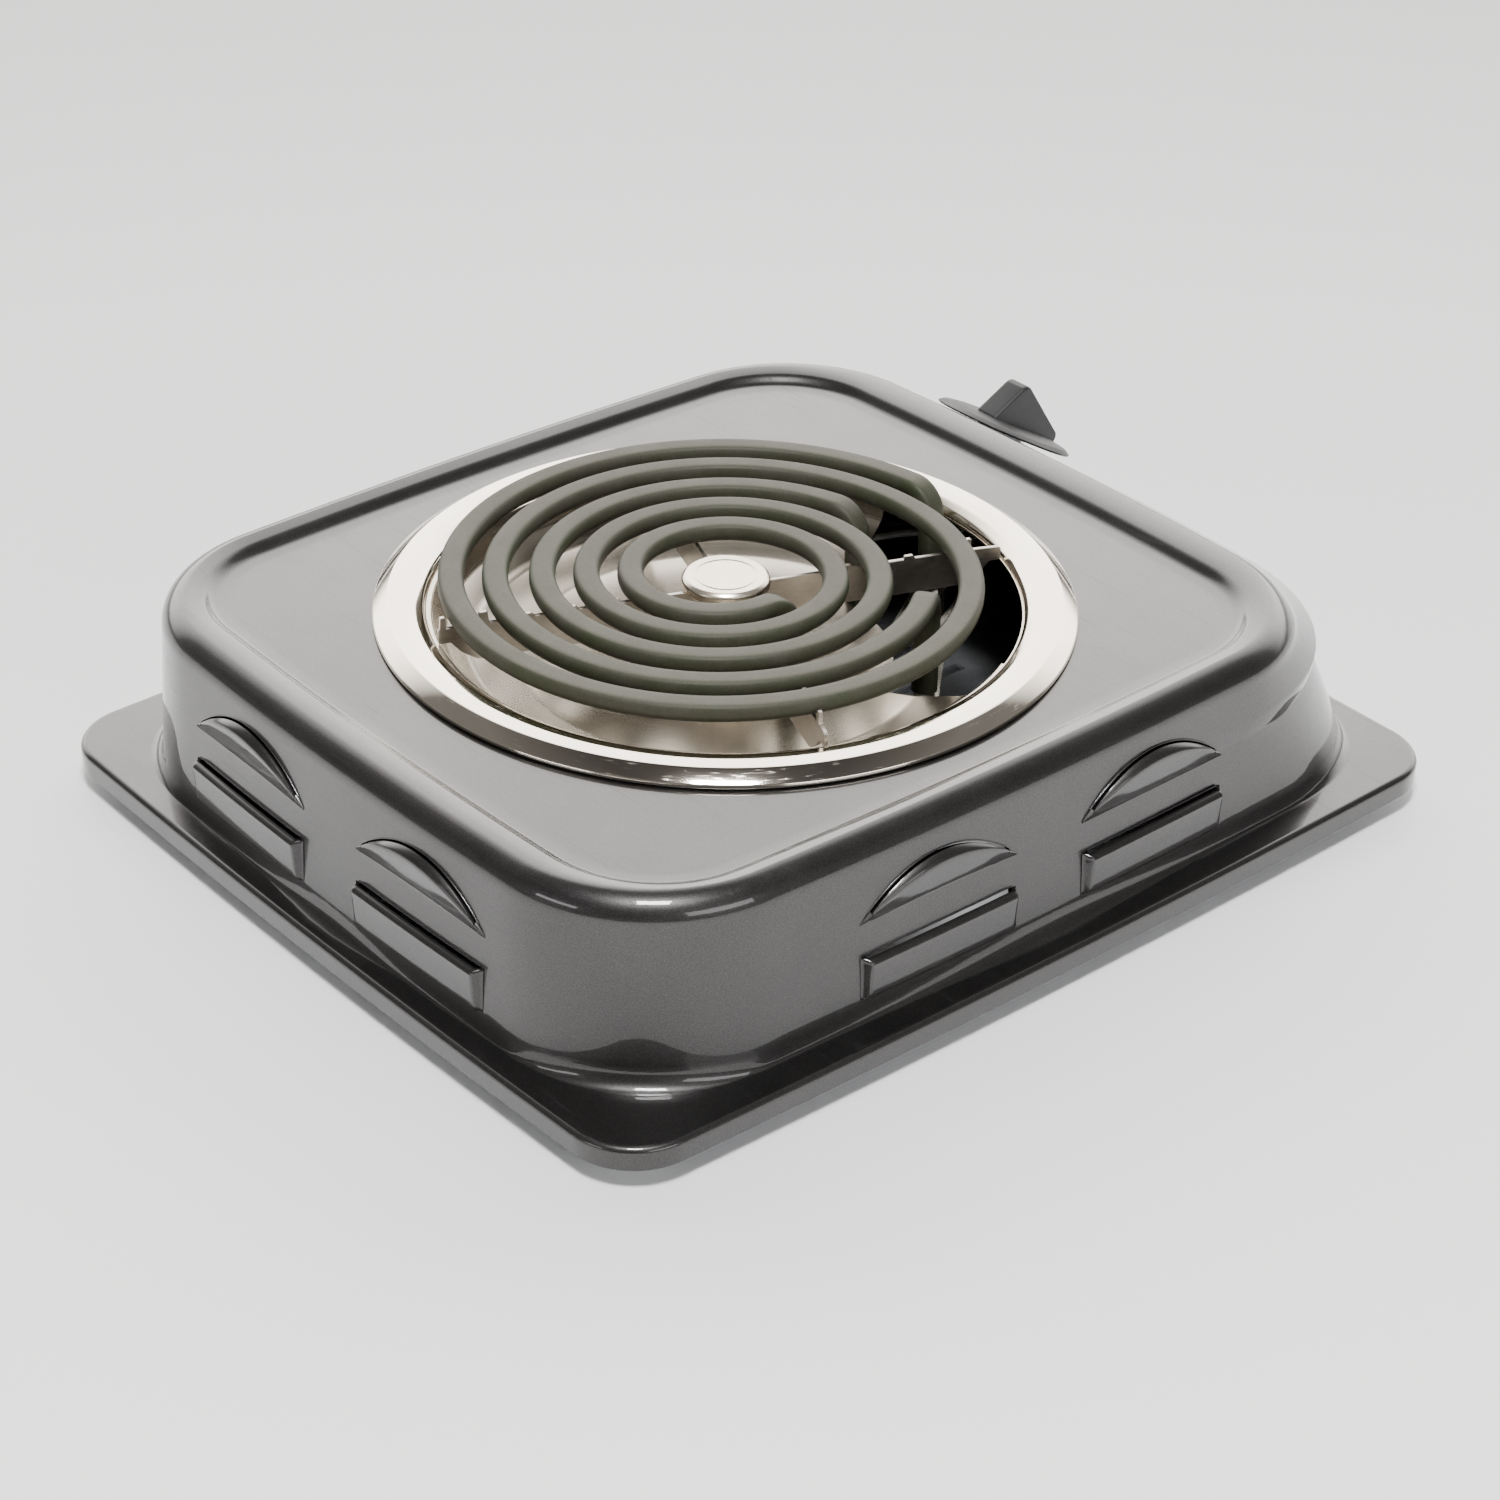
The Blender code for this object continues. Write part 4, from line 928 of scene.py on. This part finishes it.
def build_arm(name, angle, slot_from_top, steel):
    """One strip of the spider, on edge, with the half-depth slot where it crosses the other."""
    lap = (ARM_LOW + ARM_TOP) / 2
    gap = STRIP / 2 + 0.2
    right = half_arm(angle, 1)
    left = [(-x, z, radius) for x, z, radius in half_arm(angle, -1)][::-1]
    if slot_from_top:
        corners = [(gap, lap - 0.15, 0.0), (gap, ARM_TOP, 0.2)] + right + left
        corners += [(-gap, ARM_TOP, 0.2), (-gap, lap - 0.15, 0.0)]
    else:
        corners = right + [(gap, ARM_LOW, 0.2), (gap, lap + 0.15, 0.0), (-gap, lap + 0.15, 0.0),
                           (-gap, ARM_LOW, 0.2)] + left
    turn = math.radians(angle)
    along = Vector((math.cos(turn), math.sin(turn), 0.0))
    up = Vector((0.0, 0.0, 1.0))
    matrix = Matrix((along, up, along.cross(up))).transposed().to_4x4()
    matrix.translation = (HOB[0], HOB[1], 0.0)
    strip = prism(round_corners(corners, 3), -STRIP / 2, STRIP / 2, matrix)
    arm = to_object(name + "_fine", *strip, steel, 40.0)
    finish_shading(arm, 30.0, 0.22)
    keep(arm, "spider_steel", name)


def build_medallion(steel):
    """A blank cap with a rolled shoulder and two plain turned rings, on four short prongs."""
    corners = ((0.0, 65.35, 0.0), (8.3, 65.4, 0.2), (8.7, 65.2, 0.2), (9.1, 65.4, 0.2), (9.9, 65.45, 0.5),
               (11.3, 65.6, 1.0), (12.5, 64.6, 1.4), (12.5, 62.5, 0.3), (12.1, 62.3, 0.2), (0.0, 62.3, 0.0))
    cap = to_object("medallion_cap", *lathe(round_corners(corners, 5), 96, hob_matrix()), steel, 45.0)
    prongs = []
    for i in range(4):
        turn = math.radians(ARM_ANGLES[0] + 45.0 + 90.0 * i)
        centre = (HOB[0] + 5.5 * math.cos(turn), HOB[1] + 5.5 * math.sin(turn))
        prongs.append(prism(circle(1.2, 20, centre), 48.6, 63.0))
    cut_or_join(cap, "UNION", *merge(*prongs))
    finish_shading(cap, 40.0)
    keep(cap, "medallion_steel", "medallion")


# ---------------------------------------------------------------- control, feet and cord hole


def grip_ring(x, inset):
    """One outline of the pointer grip, up the slope and off the face, drawn in for the rounded cheeks."""
    profile = ((10.7, 3.4, 0.3), (10.7, 4.8, 1.0), (3.4, 16.0, 2.0), (1.9, 17.1, 1.2), (*GRIP_CREST, 1.5),
               (*GRIP_NOSE, 2.0), (-21.3, 5.2, 1.2), (-21.3, 2.2, 0.5), (-18.0, 2.2, 0.3))
    middle = Vector((-4.0, 7.0))
    ring = []
    for u, out in round_corners(profile, 5):
        away = Vector((u, out)) - middle
        point = middle + away * (1.0 - inset / away.length)
        ring.append((x, point.x, point.y))
    return ring


def build_knob(plastic, mark):
    """The control knob: a thin skirt, the pointer grip, the shaft's bore and the index line."""
    matrix = control_place()
    skirt = ((0.0, KNOB_GAP, 0.0), (SKIRT_R - 0.5, KNOB_GAP, 0.3), (SKIRT_R, KNOB_GAP + 0.5, 0.4),
             (SKIRT_R - 1.9, KNOB_GAP + 1.7, 1.2), (16.5, KNOB_GAP + 2.35, 4.0), (0.0, KNOB_GAP + 2.9, 0.0))
    knob = to_object("knob_body", *lathe(round_corners(skirt, 5), 128, matrix), plastic, 40.0)
    cheek = ((0.0, 1.0), (0.15, 0.55), (0.5, 0.2), (1.1, 0.0))
    outlines = [grip_ring(depth - GRIP_HALF, inset) for depth, inset in cheek]
    outlines += [grip_ring(GRIP_HALF - depth, inset) for depth, inset in cheek[::-1]]
    cut_or_join(knob, "UNION", *loft([[matrix @ Vector(p) for p in outline] for outline in outlines]))
    cut_or_join(knob, "DIFFERENCE", *prism(circle(KNOB_BORE_R, 32), 0.0, 13.1, matrix))
    finish_shading(knob, 30.0, 0.2)
    keep(knob, "knob_plastic", "control_knob", body="knob")
    slope = Vector(GRIP_CREST) - Vector(GRIP_NOSE)
    normal = Vector((-slope.y, slope.x)).normalized() * 0.04
    line = []
    for x in (-INDEX_HALF, INDEX_HALF):
        for share in (0.1, 0.72):
            point = Vector(GRIP_NOSE) + slope * share + normal
            line.append(matrix @ Vector((x, point.x, point.y)))
    inlay = to_object("knob_index_line", line, [(0, 1, 3, 2)], mark)
    keep(inlay, "knob_plastic", body="knob")


def build_feet(rubber, zinc):
    """Four rubber feet, each held by a cross-head screw that stands up in its recess."""
    for number in range(1, 5):
        low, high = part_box(f"foot_{number}")
        centre = Vector(((low[0] + high[0]) / 2, (low[1] + high[1]) / 2, 0.0)) / MM
        matrix = Matrix.Translation(centre - SHIFT + Vector((0.0, 0.0, SHIFT.z)))
        floor = -SHIFT.z
        corners = ((2.2, FOOT_TOP, 0.0), (9.5, FOOT_TOP, 0.3), (9.5, FOOT_TOP - 1.0, 0.5),
                   (8.3, floor + 0.7, 0.5), (7.6, floor, 0.5), (4.8, floor, 0.4), (4.4, floor + 0.5, 0.2),
                   (4.4, -2.2, 0.2), (2.2, -2.2, 0.0))
        foot = to_object(f"foot_{number}_fine", *lathe(round_corners(corners, 4), 48, matrix), rubber, 40.0)
        keep(foot, "black_rubber", f"foot_{number}")
        head = ((0.0, -4.0, 0.0), (2.4, -3.9, 0.8), (3.6, -2.6, 0.3), (1.9, -2.5, 0.1), (1.9, 8.4, 0.2),
                (0.0, 8.6, 0.0))
        turned = lathe(round_corners(head, 4), 32, matrix)
        screw = to_object(f"foot_screw_{number}_fine", *turned, zinc, 35.0)
        recess = [(-2.0, -0.35), (2.0, -0.35), (2.0, 0.35), (-2.0, 0.35)]
        for outline in (recess, [(y, x) for x, y in recess][::-1]):
            cut_or_join(screw, "DIFFERENCE", *prism(outline, -5.0, -2.9, matrix))
        finish_shading(screw, 30.0)
        keep(screw, "zinc_steel", f"foot_screw_{number}")


def build_grommet(rubber):
    corners = ((4.2, -3.2, 0.4), (9.4, -3.2, 0.6), (9.4, -1.9, 0.5), (7.0, -1.5, 0.2), (7.0, 0.5, 0.2),
               (9.4, 0.9, 0.5), (9.0, 3.0, 1.2), (6.4, 4.6, 1.0), (4.2, 4.6, 0.8))
    turned = lathe(round_corners(corners, 4), 64, cord_hole_place())
    grommet = to_object("cord_grommet_fine", *turned, rubber, 40.0)
    keep(grommet, "black_rubber", "cord_grommet")


# ---------------------------------------------------------------- the pieces kept from the CAD


def finish_inner_pieces(zinc, steel):
    """Gives each CAD node that stays visible its own finish."""
    phenolic = moulded("switch_phenolic", (0.035, 0.024, 0.02), 0.36, 500.0, 0.02)
    ceramic = moulded("steatite", (0.72, 0.69, 0.6), 0.62, 1300.0, 0.03)
    nickel = satin_metal("nickel_pin", (0.62, 0.6, 0.53), 0.32)
    brass = satin_metal("terminal_brass", (0.72, 0.52, 0.22), 0.3)
    white = moulded("lead_white", (0.68, 0.67, 0.63), 0.5, 400.0, 0.02)
    black = moulded("lead_black", (0.02, 0.02, 0.021), 0.45, 400.0, 0.02)
    earth = satin_metal("earth_screw_green", (0.13, 0.34, 0.13), 0.4, metallic=0.6)
    sleeve = braided("lead_sleeve", (0.66, 0.61, 0.5))
    finishes = {
        zinc: ["base_plate", "switch_bracket", "switch_nut", "switch_shaft"]
        + [f"foot_bracket_{i}" for i in range(1, 5)],
        steel: ["medallion_retainer"],
        phenolic: ["switch_body"],
        ceramic: ["supply_block"] + [f"element_seal_{i}" for i in range(1, 5)],
        nickel: [f"element_terminal_{i}" for i in range(1, 5)],
        brass: [f"switch_terminal_{i}" for i in range(1, 7)] + ["supply_screw_1", "supply_screw_2"],
        sleeve: [f"element_lead_{i}" for i in range(1, 5)],
        white: ["supply_lead_1"],
        black: ["supply_lead_2"],
        earth: ["earth_screw"],
    }
    for material, names in finishes.items():
        for name in names:
            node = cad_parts[name]
            node.data.materials.clear()
            node.data.materials.append(material)


# ---------------------------------------------------------------- stage


def build_camera():
    camera = bpy.data.cameras.new("camera")
    camera.lens = CAMERA_LENS
    camera.sensor_width = 36.0
    camera.clip_start = 0.05
    obj = bpy.data.objects.new("camera", camera)
    right = CAMERA_RIGHT.normalized()
    back = right.cross(CAMERA_UP).normalized()
    up = back.cross(right)
    obj.matrix_world = Matrix((right, up, back)).transposed().to_4x4()
    obj.matrix_world.translation = place(CAMERA_FROM_HOUSING)
    bpy.context.scene.collection.objects.link(obj)
    bpy.context.scene.camera = obj


def area_light(name, position, size, power):
    light = bpy.data.lights.new(name, "AREA")
    light.shape = "RECTANGLE"
    light.size, light.size_y = size
    light.energy = power
    obj = bpy.data.objects.new(name, light)
    obj.location = position
    obj.rotation_euler = (Vector(LIGHT_AIM) - Vector(position)).to_track_quat("-Z", "Y").to_euler()
    bpy.context.scene.collection.objects.link(obj)


def build_world():
    """A dim studio with one tall bright wall behind the object, as the polished top shows it."""
    world = bpy.data.worlds.new("studio")
    world.use_nodes = True
    nodes = world.node_tree.nodes
    links = world.node_tree.links
    where = nodes.new("ShaderNodeTexCoord").outputs["Generated"]
    height = nodes.new("ShaderNodeSeparateXYZ")
    links.new(where, height.inputs["Vector"])
    behind = nodes.new("ShaderNodeVectorMath")
    behind.operation = "DOT_PRODUCT"
    links.new(where, behind.inputs[0])
    behind.inputs[1].default_value = WALL_SIDE
    product = nodes.new("ShaderNodeMath")
    product.operation = "MULTIPLY"
    shades = ((height.outputs["Z"], WALL_BY_HEIGHT), (behind.outputs["Value"], WALL_BY_SIDE))
    for socket, (source, stops) in zip(product.inputs, shades):
        ramp = nodes.new("ShaderNodeValToRGB")
        set_stops(ramp.color_ramp.elements, stops)
        links.new(source, ramp.inputs["Fac"])
        links.new(ramp.outputs["Color"], socket)
    strength = nodes.new("ShaderNodeMath")
    strength.operation = "MULTIPLY_ADD"
    links.new(product.outputs["Value"], strength.inputs[0])
    strength.inputs[1].default_value = WALL_BRIGHTNESS
    strength.inputs[2].default_value = ROOM_BRIGHTNESS
    links.new(strength.outputs["Value"], nodes["Background"].inputs["Strength"])
    nodes["Background"].inputs["Color"].default_value = STUDIO_WHITE
    bpy.context.scene.world = world


def build_floor():
    paper = Finish("pale_floor", Base_Color=(0.94, 0.94, 0.94, 1.0), Roughness=0.9, Specular_IOR_Level=0.1)
    corners = [(x * FLOOR_HALF, y * FLOOR_HALF, 0.0) for x, y in ((-1, -1), (1, -1), (1, 1), (-1, 1))]
    floor = to_object("floor", corners, [(0, 1, 2, 3)], paper.material, moved=False)


# ---------------------------------------------------------------- build


def main():
    centre = place((HOB[0], HOB[1], 0.0))
    paint = pearl_enamel()
    chrome = polished_chrome(centre)
    pan_steel = spun_steel("pan_steel", centre, (0.62, 0.565, 0.48), 0.26)
    sheath = heated_sheath()
    spider_steel = satin_metal("spider_steel", (0.66, 0.61, 0.54), 0.33)
    cap_steel = spun_steel("medallion_steel", centre, (0.82, 0.74, 0.63), 0.3, 2400.0)
    knob_black = moulded("knob_phenolic", (0.016, 0.016, 0.017), 0.4, 700.0, 0.03, 0.35)
    knob_mark = moulded("knob_mark", (0.75, 0.74, 0.71), 0.5, 900.0, 0.01)
    rubber = moulded("black_rubber", (0.022, 0.022, 0.023), 0.72, 800.0, 0.05, 0.35)
    zinc = zinc_plate()

    build_camera()
    build_world()
    build_floor()
    for light in LIGHTS:
        area_light(*light)

    build_housing(paint)
    build_ring(chrome)
    build_pan(pan_steel)
    build_element("coil_outer", OUTER_TURNS, sheath)
    build_element("coil_inner", INNER_TURNS, sheath)
    build_arm("spider_strip_lower", ARM_ANGLES[0], True, spider_steel)
    build_arm("spider_strip_upper", ARM_ANGLES[1], False, spider_steel)
    build_medallion(cap_steel)
    build_knob(knob_black, knob_mark)
    build_feet(rubber, zinc)
    build_grommet(rubber)
    finish_inner_pieces(zinc, cap_steel)


main()
